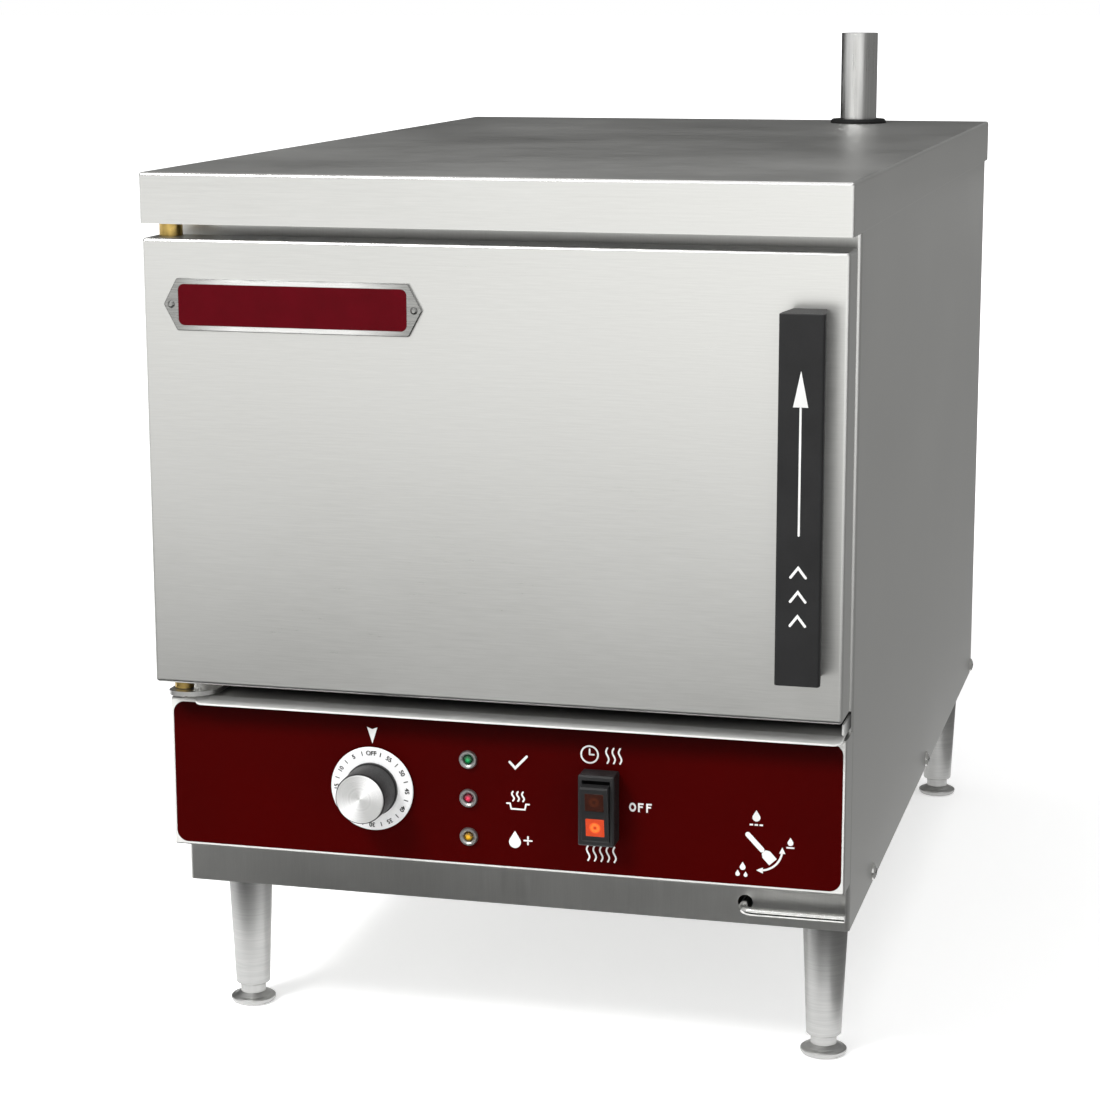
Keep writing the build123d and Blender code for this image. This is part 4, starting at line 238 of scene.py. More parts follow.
def steel(name, grain=0, side_grain=2, rough=0.33, contrast=1.0):
    """Brushed sheet: fine lines, slow clouds, and brighter edges that are partly wear and partly a painted
    highlight.

    grain is the axis of the lines, and side_grain their axis on the faces to the left and right."""
    look = Look(name)
    side = look.spread(look.facing(0), 0.6, 0.75)

    def lines(across, detail):
        front = look.grain(line_scale(grain, across), detail, 0.65)
        flank = look.grain(line_scale(side_grain, across), detail, 0.65)
        return look.blend(side, front, flank)

    fine = look.math("MULTIPLY", lines(FINE, 2.0), 0.7)
    band = look.math("MULTIPLY", lines(BAND, 3.0), 0.3)
    streak = look.math("ADD", fine, band)
    cloud = look.grain((5.0, 5.0, 7.0), 3.0)
    reach = 0.22 / contrast
    base = look.mix(look.spread(streak, 0.5 - reach, 0.5 + reach), STEEL_DARK, STEEL)
    base = look.mix(look.spread(cloud, 0.3, 0.75, 0.0, 0.35), base, STEEL_BRIGHT)
    # Brighter edges: partly wear, partly a painted highlight along them.
    base = look.edged(base, 0.0012, 0.7, STEEL_BRIGHT)
    roughness = look.math("ADD", look.varied(streak, rough - 0.05 * contrast, rough + 0.07 * contrast),
                          look.varied(cloud, -0.03, 0.03))
    look.bump(streak, 0.10 * contrast, 0.0002)
    return look.set(Base_Color=base, Metallic=1.0, Roughness=roughness)


def turned_steel(name, scale, rough, tones, painted_shade=None):
    """Metal finished along or round an upright axis: the scale stretches its fine marks.

    tones are its dark marks, its light marks and its edges. Its last argument is the pair of heights
    between which a painted shade from the body above darkens it."""
    look = Look(name)
    ring = look.grain(scale)
    cloud = look.grain(25.0)
    base = look.mix(look.spread(ring, 0.35, 0.65), tones[0], tones[1])
    base = look.edged(base, 0.0008, 0.6, tones[2])
    # Painted shade from the body above, darkest at the top.
    if painted_shade:
        height = look.split(look.place)[2]
        base = look.mix(look.spread(height, *painted_shade, 0.0, 0.7), base, PAINTED_SHADE_TINT)
    look.bump(ring, 0.02, 0.0001)
    roughness = look.math("ADD", look.varied(ring, rough - 0.02, rough + 0.03),
                          look.varied(cloud, -0.03, 0.05))
    return look.set(Base_Color=base, Metallic=1.0, Roughness=roughness)


def polished(name, tint, rough):
    """Bright metal with faint handling marks."""
    look = Look(name)
    marks = look.grain(160.0, 4.0)
    base = look.mix(look.spread(marks, 0.35, 0.7), tint, times(tint, 0.8))
    look.bump(marks, 0.03, 0.0002)
    roughness = look.varied(marks, rough * 0.8, rough * 1.5)
    return look.set(Base_Color=base, Metallic=1.0, Roughness=roughness)


def moulded(name, tint, rough, sheen=0.5, texture=900.0, edge=None):
    """Moulded plastic or rubber with a fine texture and slightly lighter edges."""
    look = Look(name)
    pebble = look.grain(texture)
    cloud = look.grain(40.0)
    lighter = edge or tuple(min(1.0, 1.8 * part + 0.01) for part in tint)
    base = look.mix(look.spread(cloud, 0.35, 0.7), tint, times(tint, 0.8))
    base = look.edged(base, 0.0006, 0.6, lighter)
    look.bump(pebble, 0.12, 0.0001)
    roughness = look.varied(pebble, rough - 0.06, rough + 0.08)
    return look.set(Base_Color=base, Roughness=roughness, Specular_IOR_Level=sheen)


sheet_x = steel("steel_sheet_x", contrast=0.8)
sheet_z = steel("steel_sheet_z", grain=2, contrast=0.5)
liner_steel = steel("steel_liner", side_grain=1, rough=0.24, contrast=0.6)
rod_steel = polished("steel_rod", (0.74, 0.74, 0.72), 0.16)
leg_steel = turned_steel("steel_turned", (30.0, 30.0, 900.0), 0.36, LEG_TONES, painted_shade=(0.05, 0.10))
tube_steel = turned_steel("steel_tube", (900.0, 900.0, 12.0), 0.3, TUBE_TONES)
black = moulded("black_plastic", (0.018, 0.018, 0.0185), 0.42, sheen=0.3)
grip = moulded("black_grip", (0.016, 0.016, 0.0165), 0.5, sheen=0.2)
rubber = moulded("rubber_black", (0.008, 0.008, 0.008), 0.6, sheen=0.15)
silicone = moulded("silicone", (0.33, 0.07, 0.03), 0.5)
brass = polished("brass", (0.46, 0.32, 0.10), 0.3)
alloy = polished("cast_alloy", (0.5, 0.5, 0.5), 0.45)
enamel = moulded("motor_enamel", (0.03, 0.03, 0.035), 0.45, texture=300.0)
bezel = polished("lamp_bezel", (0.52, 0.52, 0.51), 0.36)

dress(sheet_x, "top_cover", "door_skin", "control_housing", "back_panel", "door_liner", "fan_guard",
      "leg_mounts", "hinge_blocks", "drain_pipe", "drain_outlet")
dress(sheet_z, "body_wrapper", "base_pan", "hinge_brackets")
dress(liner_steel, "cooking_chamber", "water_well", "pan_rack_left", "pan_rack_right")
dress(rod_steel, "drain_lever", "latch_slide", "latch_keepers", "hinge_pins", "rack_studs",
      "panel_screws", "water_level_probe")
dress(leg_steel, "legs", "foot_front_left", "foot_front_right", "foot_rear_left", "foot_rear_right")
dress(tube_steel, "vent_pipe")
dress(grip, "handle_bar")
dress(black, "switch_housing", "switch_rocker", "timer_knob", "timer_body", "thermostat", "contactor",
      "terminal_block", "power_gland")
dress(rubber, "vent_grommet")
dress(silicone, "door_gasket")
dress(brass, "hinge_bushes", "drain_valve", "drain_nipple")
dress(alloy, "heater_plate", "fan_wheel")
dress(enamel, "fan_motor")
dress(bezel, "pilot_lamps")


def blanket():
    """Mineral wool."""
    look = Look("mineral_wool")
    wool = look.grain(300.0, 6.0, 0.7)
    look.bump(wool, 0.8, 0.002)
    return look.set(Base_Color=look.mix(wool, (0.55, 0.5, 0.38), (0.82, 0.79, 0.68)), Roughness=0.95)


dress(blanket(), "chamber_insulation", "door_insulation")


def rounded_distance(look, across, up, half_x, half_z, corner):
    """Signed distance in metres to the outline of a rounded rectangle, negative inside."""
    dx = look.math("SUBTRACT", look.math("ABSOLUTE", across), half_x - corner)
    dz = look.math("SUBTRACT", look.math("ABSOLUTE", up), half_z - corner)
    outside = look.hypotenuse(look.math("MAXIMUM", dx, 0.0), look.math("MAXIMUM", dz, 0.0))
    inside = look.math("MINIMUM", look.math("MAXIMUM", dx, dz), 0.0)
    return look.math("SUBTRACT", look.math("ADD", outside, inside), corner)


# The printed overlay of the control panel: a dark red field with a painted shadow of the gutter near its
# top, and a pale border
FIELD_RED = (0.050, 0.0, 0.0)
FIELD_PAINTED_SHADOW = (0.014, 0.0, 0.0)
BORDER_PALE = (0.62, 0.62, 0.60)
FIELD_CORNER = 0.008
FIELD_MARGIN = 0.0012
FIELD_EDGE = 0.0001
PAINTED_SHADOW_DEPTHS = (0.020, 0.002)


def overlay():
    half = half_size("panel_overlay")
    half_x, half_z = half.x - FIELD_MARGIN, half.z - FIELD_MARGIN
    look = Look("panel_print")
    parts = look.offset("panel_overlay")
    distance = rounded_distance(look, parts[0], parts[2], half_x, half_z, FIELD_CORNER)
    dots = look.grain(2600.0, 1.0)
    cloud = look.grain(9.0)
    red = look.mix(look.varied(cloud), FIELD_RED, times(FIELD_RED, 0.86))
    # Painted shadow of the gutter over the top of the field.
    painted_gutter_shadow = look.spread(parts[2], half_z - PAINTED_SHADOW_DEPTHS[0], half_z - PAINTED_SHADOW_DEPTHS[1], 0.0, 0.75)
    red = look.mix(painted_gutter_shadow, red, FIELD_PAINTED_SHADOW)
    base = look.mix(look.spread(distance, FIELD_EDGE, -FIELD_EDGE), BORDER_PALE, red)
    look.bump(dots, 0.05, 0.00004)
    return look.set(Base_Color=base, Roughness=look.varied(cloud, 0.34, 0.42), Specular_IOR_Level=0.02)


dress(overlay(), "panel_overlay")


def badge_silver():
    """Brushed plate with painted shade at its ends and along its edges, and a painted highlight along the
    middle.
    """
    look = Look("badge_silver")
    half = half_size("badge_plate").x
    grain = look.grain((60.0, 900.0, 1400.0))
    across = look.math("ABSOLUTE", look.offset("badge_plate")[0])
    # The middle is a painted highlight and the ends are painted shade.
    middle = look.mix(look.varied(grain), (0.58, 0.58, 0.57), (0.78, 0.78, 0.77))
    painted_shade = look.mix(look.varied(grain), (0.20, 0.20, 0.195), (0.34, 0.34, 0.33))
    base = look.mix(look.spread(across, 0.45 * half, 0.88 * half), middle, painted_shade)
    # Painted shade along the edges.
    base = look.edged(base, 0.0006, 0.5, (0.10, 0.10, 0.10))
    look.bump(grain, 0.08, 0.0001)
    return look.set(Base_Color=base, Metallic=1.0, Roughness=look.varied(grain, 0.24, 0.34))


dress(badge_silver(), "badge_plate")


def badge_red():
    """Blank enamel field of the badge."""
    look = Look("badge_red")
    cloud = look.grain(60.0)
    base = look.mix(cloud, (0.062, 0.0, 0.002), (0.092, 0.0, 0.004))
    look.bump(cloud, 0.05, 0.0002)
    return look.set(Base_Color=base, Roughness=0.3, Specular_IOR_Level=0.05)


dress(badge_red(), "badge_field")


def gutter():
    """Satin sheet with painted shade at the back, under the door, that grades to a bright front lip."""
    low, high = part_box("drip_gutter")
    reach = high.y - low.y
    look = Look("gutter_satin")
    satin = look.grain((60.0, 900.0, 900.0))
    ragged = look.varied(look.grain(30.0), -0.001, 0.001)
    depth = look.math("ADD", look.split(look.place)[1], ragged)
    # Painted shade under the door at the back, grading to painted light at the front lip.
    painted_light = look.math("POWER", look.spread(depth, high.y - 0.12 * reach, low.y + 0.1 * reach), 1.3)
    bright = look.mix(look.varied(satin), (0.80, 0.80, 0.78), (0.90, 0.90, 0.88))
    base = look.mix(painted_light, (0.02, 0.02, 0.019), bright)
    look.bump(satin, 0.05, 0.0001)
    return look.set(Base_Color=base, Metallic=0.25, Roughness=look.varied(satin, 0.38, 0.48),
                    Specular_IOR_Level=0.3)


dress(gutter(), "drip_gutter")


def spun(name, node):
    """Metal spun round an axis along Y: rings, real highlights from its brushing, and painted highlights
    that fan out from the middle.
    """
    look = Look(name)
    parts = look.offset(node)
    across, up = parts[0], parts[2]
    outward = look.add("ShaderNodeCombineXYZ")
    look.feed(outward.inputs[0], look.math("MULTIPLY", look.hypotenuse(across, up), 5200.0))
    rings = look.noise(outward.outputs[0], 2.0)
    look.bump(rings, 0.12, 0.00008)

    turn = look.add("ShaderNodeCombineXYZ")
    look.feed(turn.inputs[0], up)
    look.feed(turn.inputs[2], look.math("MULTIPLY", across, -1.0))
    tangent = look.add("ShaderNodeVectorTransform", vector_type="VECTOR",
                       convert_from="OBJECT", convert_to="WORLD")
    look.feed(tangent.inputs[0], look.vector("NORMALIZE", turn.outputs[0]))

    # Painted highlights: the colour turns bright in two fans across the cap.
    painted_fan_turn = 0.9
    angle = look.math("SUBTRACT", look.math("ARCTAN2", up, across), painted_fan_turn)
    painted_fan = look.math("COSINE", look.math("MULTIPLY", angle, 2.0))
    painted_fan = look.math("ADD", look.math("MULTIPLY", painted_fan, 0.5), 0.5)
    base = look.mix(look.spread(rings, 0.35, 0.65), (0.44, 0.44, 0.435), (0.54, 0.54, 0.53))
    base = look.mix(look.math("POWER", painted_fan, 2.0), base, (0.99, 0.99, 0.98))
    return look.set(Base_Color=base, Metallic=0.3, Roughness=look.varied(rings, 0.22, 0.34),
                    Anisotropic=0.9, Tangent=tangent.outputs[0])


dress(spun("spun_cap", "timer_cap"), "timer_cap")


def dial_face():
    """White plastic, a little greyer at its rim."""
    look = Look("dial_white")
    grain = look.grain(700.0)
    rim = look.spread(look.radius("timer_dial"), 0.0262, 0.0284)
    base = look.mix(look.varied(grain), (0.86, 0.86, 0.86), (0.91, 0.91, 0.91))
    base = look.mix(look.math("MULTIPLY", rim, 0.5), base, (0.7, 0.7, 0.7))
    look.bump(grain, 0.04, 0.0001)
    return look.set(Base_Color=base, Roughness=0.35)


dress(dial_face(), "timer_dial")


def lens(name, tint, glow):
    """Lamp lens with a dark rim, faint facets and a glow in its middle."""
    look = Look("lens_" + name)
    radius = look.radius("lamp_lens_" + name)
    facets = look.grain(1500.0, 1.0)
    base = look.mix(look.spread(radius, 0.0005, 0.0021), tint, times(tint, 0.10))
    base = look.mix(look.spread(facets, 0.48, 0.62, 0.0, 0.25), base, times(tint, 1.5))
    look.bump(facets, 0.1, 0.0002)
    bright = look.math("MULTIPLY", look.spread(radius, 0.0022, 0.0004), glow)
    return look.set(Base_Color=base, Roughness=0.22, Specular_IOR_Level=0.3, Coat_Weight=0.5,
                    Coat_Roughness=0.04, Emission_Color=tint, Emission_Strength=bright)


dress(lens("green", (0.01, 0.24, 0.07), 0.5), "lamp_lens_green")
dress(lens("red", (0.60, 0.03, 0.08), 0.35), "lamp_lens_red")
dress(lens("amber", (0.68, 0.36, 0.015), 0.35), "lamp_lens_amber")


def rocker_lens():
    """Two windows in one node: dark above, lit below, each with a ring round a dark lamp."""
    lamp_height = half_size("rocker_lenses").z - 0.0061
    look = Look("rocker_lens")
    parts = look.offset("rocker_lenses")
    lit = look.spread(parts[2], 0.0005, -0.0005)
    rise = look.math("SUBTRACT", look.math("ABSOLUTE", parts[2]), lamp_height)
    radius = look.hypotenuse(parts[0], rise)
    ring = look.math("MULTIPLY", look.spread(radius, 0.0006, 0.0016), look.spread(radius, 0.0042, 0.0026))
    cells = look.grain(1300.0, 1.0)
    glow = look.math("ADD", look.math("MULTIPLY", ring, 0.8), 0.12)
    glow = look.math("MULTIPLY", look.blend(lit, 0.035, 0.9), glow)
    glow = look.math("MULTIPLY", glow, look.spread(cells, 0.35, 0.65, 0.8, 1.2))
    base = look.mix(lit, (0.035, 0.008, 0.004), (0.55, 0.05, 0.01))
    warm = look.mix(ring, (0.55, 0.03, 0.01), (1.0, 0.22, 0.03))
    look.bump(cells, 0.2, 0.0002)
    return look.set(Base_Color=base, Roughness=0.25, Coat_Weight=0.8, Coat_Roughness=0.05,
                    Emission_Color=warm, Emission_Strength=glow)


dress(rocker_lens(), "rocker_lenses")


# Printed signs, cut as thin sheets in the plane of the panel. Their shapes are (x, z) points in metres.
def add_object(name, mesh, material):
    mesh.materials.append(material)
    made = bpy.data.objects.new(name, mesh)
    bpy.context.scene.collection.objects.link(made)
    return made


def sheet_object(name, loops, y, material, body):
    """Flat shapes, filled and given the thickness of a print towards the front."""
    form = bmesh.new()
    for loop in loops:
        form.faces.new([form.verts.new((x, 0.0, z)) for x, z in loop])
    bmesh.ops.remove_doubles(form, verts=form.verts[:], dist=1e-7)
    bmesh.ops.recalc_face_normals(form, faces=form.faces[:])
    bmesh.ops.reverse_faces(form, faces=[face for face in form.faces if face.normal.y > 0])
    raised = bmesh.ops.extrude_face_region(form, geom=form.faces[:])
    front = [item for item in raised["geom"] if isinstance(item, bmesh.types.BMVert)]
    bmesh.ops.translate(form, verts=front, vec=(0, -PRINT, 0))
    bmesh.ops.recalc_face_normals(form, faces=form.faces[:])
    mesh = bpy.data.meshes.new(name)
    form.to_mesh(mesh)
    form.free()
    made = add_object(name, mesh, material)
    made.location = (0, y, 0)
    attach(made, body)
    return made


def moved(points, x, z):
    return [(x + px, z + pz) for px, pz in points]


def polar(x, z, radius, angle):
    return x + radius * math.cos(angle), z + radius * math.sin(angle)


def circle(x, z, radius, count):
    return [polar(x, z, radius, 2 * math.pi * i / count) for i in range(count)]


def arc(x, z, radius, first, last, count):
    """Points on an arc, angles in degrees."""
    return [polar(x, z, radius, math.radians(first + (last - first) * i / count)) for i in range(count + 1)]


def bar(x0, x1, z0, z1):
    return [(x0, z0), (x1, z0), (x1, z1), (x0, z1)]


def half_disc(centre, begin, finish, steps=6):
    """The outline of a rounded end, clockwise from one side of a strip to the other."""
    radius = math.dist(centre, begin)
    angle = math.atan2(begin[1] - centre[1], begin[0] - centre[0])
    between = [polar(*centre, radius, angle - math.pi * k / steps) for k in range(1, steps)]
    return [begin, *between, finish]


def stroke(points, width):
    """A strip of constant width along the points: a row of quads with a half disc at each end."""
    left, right = [], []
    last = len(points) - 1
    for i, (x, z) in enumerate(points):
        before, after = points[max(i - 1, 0)], points[min(i + 1, last)]
        steps = [(x - before[0], z - before[1]), (after[0] - x, after[1] - z)]
        steps = [(dx / math.hypot(dx, dz), dz / math.hypot(dx, dz)) for dx, dz in steps if dx or dz]
        (ax, az), (bx, bz) = steps[0], steps[-1]
        mx, mz = -(az + bz), ax + bx
        length = math.hypot(mx, mz)
        mx, mz = mx / length, mz / length
        miter = width / 2 / max(0.5, mx * -az + mz * ax)
        left.append((x + mx * miter, z + mz * miter))
        right.append((x - mx * miter, z - mz * miter))
    quads = [[left[i - 1], left[i], right[i], right[i - 1]] for i in range(1, last + 1)]
    return quads + [half_disc(points[-1], left[-1], right[-1]), half_disc(points[0], right[0], left[0])]


def ring_strip(x, z, radius, width, tall=1.0, count=32):
    """A closed ring, or an upright oval, as a row of small quads."""
    inner, outer = ([(px, z + (pz - z) * tall) for px, pz in circle(x, z, reach, count)]
                    for reach in (radius - width / 2, radius + width / 2))
    return [[inner[i - 1], outer[i - 1], outer[i], inner[i]] for i in range(count)]


def slanted(x0, z0, x1, z1, first, last):
    """A straight band that widens evenly from one end to the other."""
    length = math.hypot(x1 - x0, z1 - z0)
    ux, uz = (x1 - x0) / length, (z1 - z0) / length
    return [(x0 - uz * first / 2, z0 + ux * first / 2), (x0 + uz * first / 2, z0 - ux * first / 2),
            (x1 + uz * last / 2, z1 - ux * last / 2), (x1 - uz * last / 2, z1 + ux * last / 2)]


def arrow_head(x, z, direction, length, width):
    """A triangle whose tip is at (x, z), pointing along an angle in degrees."""
    angle = math.radians(direction)
    ux, uz = math.cos(angle), math.sin(angle)
    bx, bz = x - ux * length, z - uz * length
    return [(x, z), (bx - uz * width / 2, bz + ux * width / 2), (bx + uz * width / 2, bz - ux * width / 2)]


def drop(x, z, size):
    """A water drop with its point upward."""
    return arc(x, z - 0.14 * size, 0.36 * size, 150, 390, 20) + [(x, z + 0.55 * size)]


def wave(x, z, height, swing, count=14):
    """One upright steam line."""
    return [(x + swing * math.sin(2 * math.pi * i / count), z + height * (i / count - 0.5))
            for i in range(count + 1)]


def steam(x, z, height, pitch, count=3):
    """Steam lines side by side."""
    loops = []
    for i in range(count):
        loops += stroke(wave(x + pitch * (i - (count - 1) / 2), z, height, 0.22 * pitch), LINE)
    return loops


def clock(x, z, radius):
    upright = stroke([(x, z), (x, z + 0.62 * radius)], LINE)
    level = stroke([(x + 0.5 * radius, z), (x + 0.56 * LINE, z)], LINE)
    return ring_strip(x, z, radius, LINE) + upright + level


print_white = moulded("print_white", (0.80, 0.80, 0.79), 0.5, texture=1500.0, edge=(0.8, 0.8, 0.79))
print_black = moulded("print_black", (0.02, 0.02, 0.02), 0.5, texture=1500.0)

PANEL_LOW, PANEL_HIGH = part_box("panel_overlay")
SWITCH = middle_of("switch_housing")
SWITCH_LOW, SWITCH_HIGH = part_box("switch_housing")
KNOB = middle_of("timer_dial")
LAMP_Z = {name: middle_of("lamp_lens_" + name).z for name in ("green", "red", "amber")}
SIGN_X = middle_of("pilot_lamps").x + 0.0335

# Sign shapes, from the middle of each sign
TICK = ((-0.0055, 0.0002), (-0.0018, -0.0037), (0.0060, 0.0045))
PAN = ((-0.0075, -0.0016), (-0.0054, -0.0016), (-0.0046, -0.0052),
       (0.0046, -0.0052), (0.0054, -0.0016), (0.0075, -0.0016))
PLUS = (((-0.0026, 0.0), (0.0026, 0.0)), ((0.0, -0.0026), (0.0, -0.0012)), ((0.0, 0.0012), (0.0, 0.0026)))
POINTER = (((0.0, 0.0), (-0.0036, 0.0112), (0.0, 0.0098)), ((0.0, 0.0), (0.0, 0.0098), (0.0036, 0.0112)))
CHEVRON = ((-0.0046, -0.0040), (0.0, 0.0020), (0.0046, -0.0040))


def panel_sign(name, loops):
    sign = sheet_object(name, loops, PANEL_LOW.y - FINE_GAP, print_white, "cabinet")


def lamp_signs():
    """Ready, cooking and low water: a tick, a pan with steam, and a drop with a plus."""
    panel_sign("sign_ready", stroke(moved(TICK, SIGN_X, LAMP_Z["green"]), 1.5 * LINE))
    z = LAMP_Z["red"]
    pan = stroke(moved(PAN, SIGN_X, z), LINE)
    panel_sign("sign_cooking", pan + steam(SIGN_X, z + 0.0034, 0.0062, 0.0034))
    z = LAMP_Z["amber"]
    loops = [drop(SIGN_X - 0.0022, z, 0.0112)]
    for line in PLUS:
        loops += stroke(moved(line, SIGN_X + 0.0066, z), LINE)
    panel_sign("sign_water", loops)


def switch_signs():
    """Timed steam above the switch, constant steam below it."""
    above, below = SWITCH_HIGH.z + 0.0098, SWITCH_LOW.z - 0.0096
    timer = clock(SWITCH.x - 0.0078, above, 0.0056)
    panel_sign("sign_timed", timer + steam(SWITCH.x + 0.0082, above, 0.0100, 0.0042))
    panel_sign("sign_constant", steam(SWITCH.x, below, 0.0100, 0.0044, 5))


def pointer_sign():
    """The notched arrow that points down at the dial, in two halves."""
    panel_sign("sign_pointer", [moved(half, KNOB.x, KNOB.z + 0.0302) for half in POINTER])


def drain_sign():
    """A lever with its blade, a two-way arc for its quarter turn, and drops for shut and running."""
    x, z = PANEL_HIGH.x - 0.0541, PANEL_LOW.z + 0.0265
    swing, rod, blade = 0.0148, 0.0034, 0.0066
    head = (0.0042, 0.0040)
    loops = stroke([(x - 0.0076, z + 0.0086), (x + 0.0016, z - 0.0010)], rod)
    loops.append(slanted(x + 0.0028, z - 0.0022, x + 0.0044, z - 0.0039, rod, blade))
    loops.append(slanted(x + 0.0044, z - 0.0039, x + 0.0089, z - 0.0087, blade, blade))
    loops += stroke(arc(x, z, swing, -80, -10, 14), 0.0013)
    loops.append(arrow_head(x + swing, z + 0.0016, 90, *head))
    loops.append(arrow_head(x - 0.0018, z - swing, 180, *head))
    # Above the lever: a drop over a slotted drain
    middle, pitch, half_slot = x - 0.0022, 0.0032, 0.0011
    loops.append(drop(middle, z + 0.0212, 0.0072))
    for slot in (middle - pitch, middle, middle + pitch):
        loops.append(bar(slot - half_slot, slot + half_slot, z + 0.0148, z + 0.0159))
    # Shut: a drop with a line across below it
    shut = x + swing + 0.0052
    loops.append(drop(shut, z + 0.0056, 0.0052))
    loops.append(bar(shut - 0.0026, shut + 0.0026, z + 0.0012, z + 0.0022))
    # Running: three drops that fall
    drops = ((0.0108, -0.0020, 0.0052), (0.0140, 0.0028, 0.0040), (0.0088, 0.0034, 0.0034))
    for left, below, size in drops:
        loops.append(drop(x - left, z - swing - below, size))
    panel_sign("sign_drain", loops)


def off_sign():
    """The letters O, F, F cut as plain strips."""
    x, z = SWITCH.x + 0.0262, SWITCH.z
    tall, wide, pitch = 0.0060, 0.0040, 0.0054
    oval = wide + 0.0006
    loops = ring_strip(x - pitch, z, (oval - LINE) / 2, LINE, tall / oval)
    for letter in (x, x + pitch):
        left = letter - wide / 2 + 0.0002
        loops += [bar(left, left + LINE, z - tall / 2, z + tall / 2),
                  bar(left + LINE, left + wide - 0.0004, z + tall / 2 - LINE, z + tall / 2),
                  bar(left + LINE, left + wide - 0.0009, z - 0.0001, z - 0.0001 + LINE)]
    panel_sign("sign_off", loops)


lamp_signs()
switch_signs()
pointer_sign()
drain_sign()
off_sign()


def lettering(name, text, size, place, turn, material, body):
    """Generic lettering as a thin mesh that faces the front. turn is in degrees clockwise."""
    curve = bpy.data.curves.new(name, "FONT")
    curve.body = text
    curve.size = size
    curve.align_x = "CENTER"
    curve.align_y = "CENTER"
    curve.extrude = PRINT / 2
    curve.offset = 0.02 * size
    letters = bpy.data.objects.new(name + "_curve", curve)
    bpy.context.scene.collection.objects.link(letters)
    bpy.context.view_layer.update()
    mesh = bpy.data.meshes.new_from_object(letters.evaluated_get(bpy.context.evaluated_depsgraph_get()))
    bpy.data.objects.remove(letters)
    upright = Matrix.Rotation(math.radians(90), 4, "X")
    spin = Matrix.Rotation(math.radians(turn), 4, "Y")
    mesh.transform(Matrix.Translation(place) @ spin @ upright)
    mesh.materials.clear()
    made = add_object(name, mesh, material)
    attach(made, body)
    return made


def on_dial(turn, radius):
    """The (x, z) point at some degrees clockwise from the top of the dial."""
    angle = math.radians(turn)
    return KNOB.x + radius * math.sin(angle), KNOB.z + radius * math.cos(angle)


def dial_marks():
    """OFF at the top, then 5 to 55 counterclockwise, with a tick halfway between."""
    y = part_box("timer_dial")[0].y - GAP
    steps, pitch = 12, 30.0
    number_radius, number_size = 0.0243, 0.0042
    tick_radii, tick_width = (0.0232, 0.0258), 0.0006
    for step in range(steps):
        turn = -pitch * step
        x, z = on_dial(turn, number_radius)
        text = str(5 * step) if step else "OFF"
        mark = lettering("dial_%02d" % (5 * step), text, number_size, (x, y - PRINT / 2, z), turn,
                         print_black, "timer")
    ticks = []
    for step in range(steps):
        ticks += stroke([on_dial(pitch * (step + 0.5), radius) for radius in tick_radii], tick_width)
    made = sheet_object("dial_ticks", ticks, y, print_black, "timer")


dial_marks()


def handle_marks():
    """An arrow up the handle and a column of chevrons below it."""
    low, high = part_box("handle_bar")
    x, top = (low.x + high.x) / 2, high.z - 0.034
    loops = [arrow_head(x, top, 90, 0.022, 0.0092)] + stroke([(x, top - 0.0226), (x, top - 0.100)], 0.0013)
    for step in range(3):
        loops += stroke(moved(CHEVRON, x, top - 0.122 - 0.015 * step), 0.0016)
    marks = sheet_object("handle_marks", loops, low.y - GAP, print_white, "handle")


handle_marks()


# The screws of the back panel, told by their place: further back than BACK_SCREW_Y, and BACK_SCREW_X
# to either side. The others face sideways. Then the size of one bar of a recess, in metres.
BACK_SCREW_X = 0.221
BACK_SCREW_Y = 0.37
RECESS_WIDTH = 0.0009
RECESS_LENGTH = 0.0052
RECESS_DEPTH = 0.00008


def separate_boxes(mesh):
    """The lowest and highest corner of each separate piece of a mesh."""
    form = bmesh.new()
    form.from_mesh(mesh)
    boxes, seen = [], set()
    for seed in form.verts:
        if seed in seen:
            continue
        seen.add(seed)
        island, queue = [seed.co], [seed]
        while queue:
            for edge in queue.pop().link_edges:
                for vert in edge.verts:
                    if vert not in seen:
                        seen.add(vert)
                        island.append(vert.co)
                        queue.append(vert)
        boxes.append([Vector(pick(co[i] for co in island) for i in range(3)) for pick in (min, max)])
    form.free()
    return boxes


def screw_recess_shade():
    """A dark cross of painted shade on the head of every panel screw, for the shade in its cross recess,
    lying on the highest point of the head.
    """
    node = NODES["panel_screws"]
    marks = bmesh.new()
    for low, high in separate_boxes(node.data):
        middle = (low + high) / 2
        on_back = middle.y > BACK_SCREW_Y and abs(abs(middle.x) - BACK_SCREW_X) < 0.002
        axis = 1 if on_back else 0
        outward = 1.0 if middle[axis] > 0 else -1.0
        place = middle.copy()
        place[axis] = (high if outward > 0 else low)[axis] + outward * FINE_GAP
        for along in (i for i in range(3) if i != axis):
            size = [RECESS_WIDTH, RECESS_WIDTH, RECESS_WIDTH]
            size[along] = RECESS_LENGTH
            size[axis] = RECESS_DEPTH
            matrix = Matrix.Translation(place) @ Matrix.Diagonal((*size, 1.0))
            bmesh.ops.create_cube(marks, size=1.0, matrix=matrix)
    mesh = bpy.data.meshes.new("screw_recess_shade")
    marks.to_mesh(mesh)
    marks.free()
    # The crosses are painted shade in black rubber; the recesses are not cut.
    made = add_object("screw_recess_shade", mesh, rubber)
    made.matrix_world = node.matrix_world.copy()
    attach(made, "cabinet")


screw_recess_shade()


# Studio. FAR is the floor's reach and CARD_Z the height of the cards that lie on it, in metres.
FAR = 60.0
CARD_Z = 0.004
CARD_TINT = (1.0, 1.0, 0.985)
WHITE = (1.0, 1.0, 1.0)
BLACK = (0.0, 0.0, 0.0)


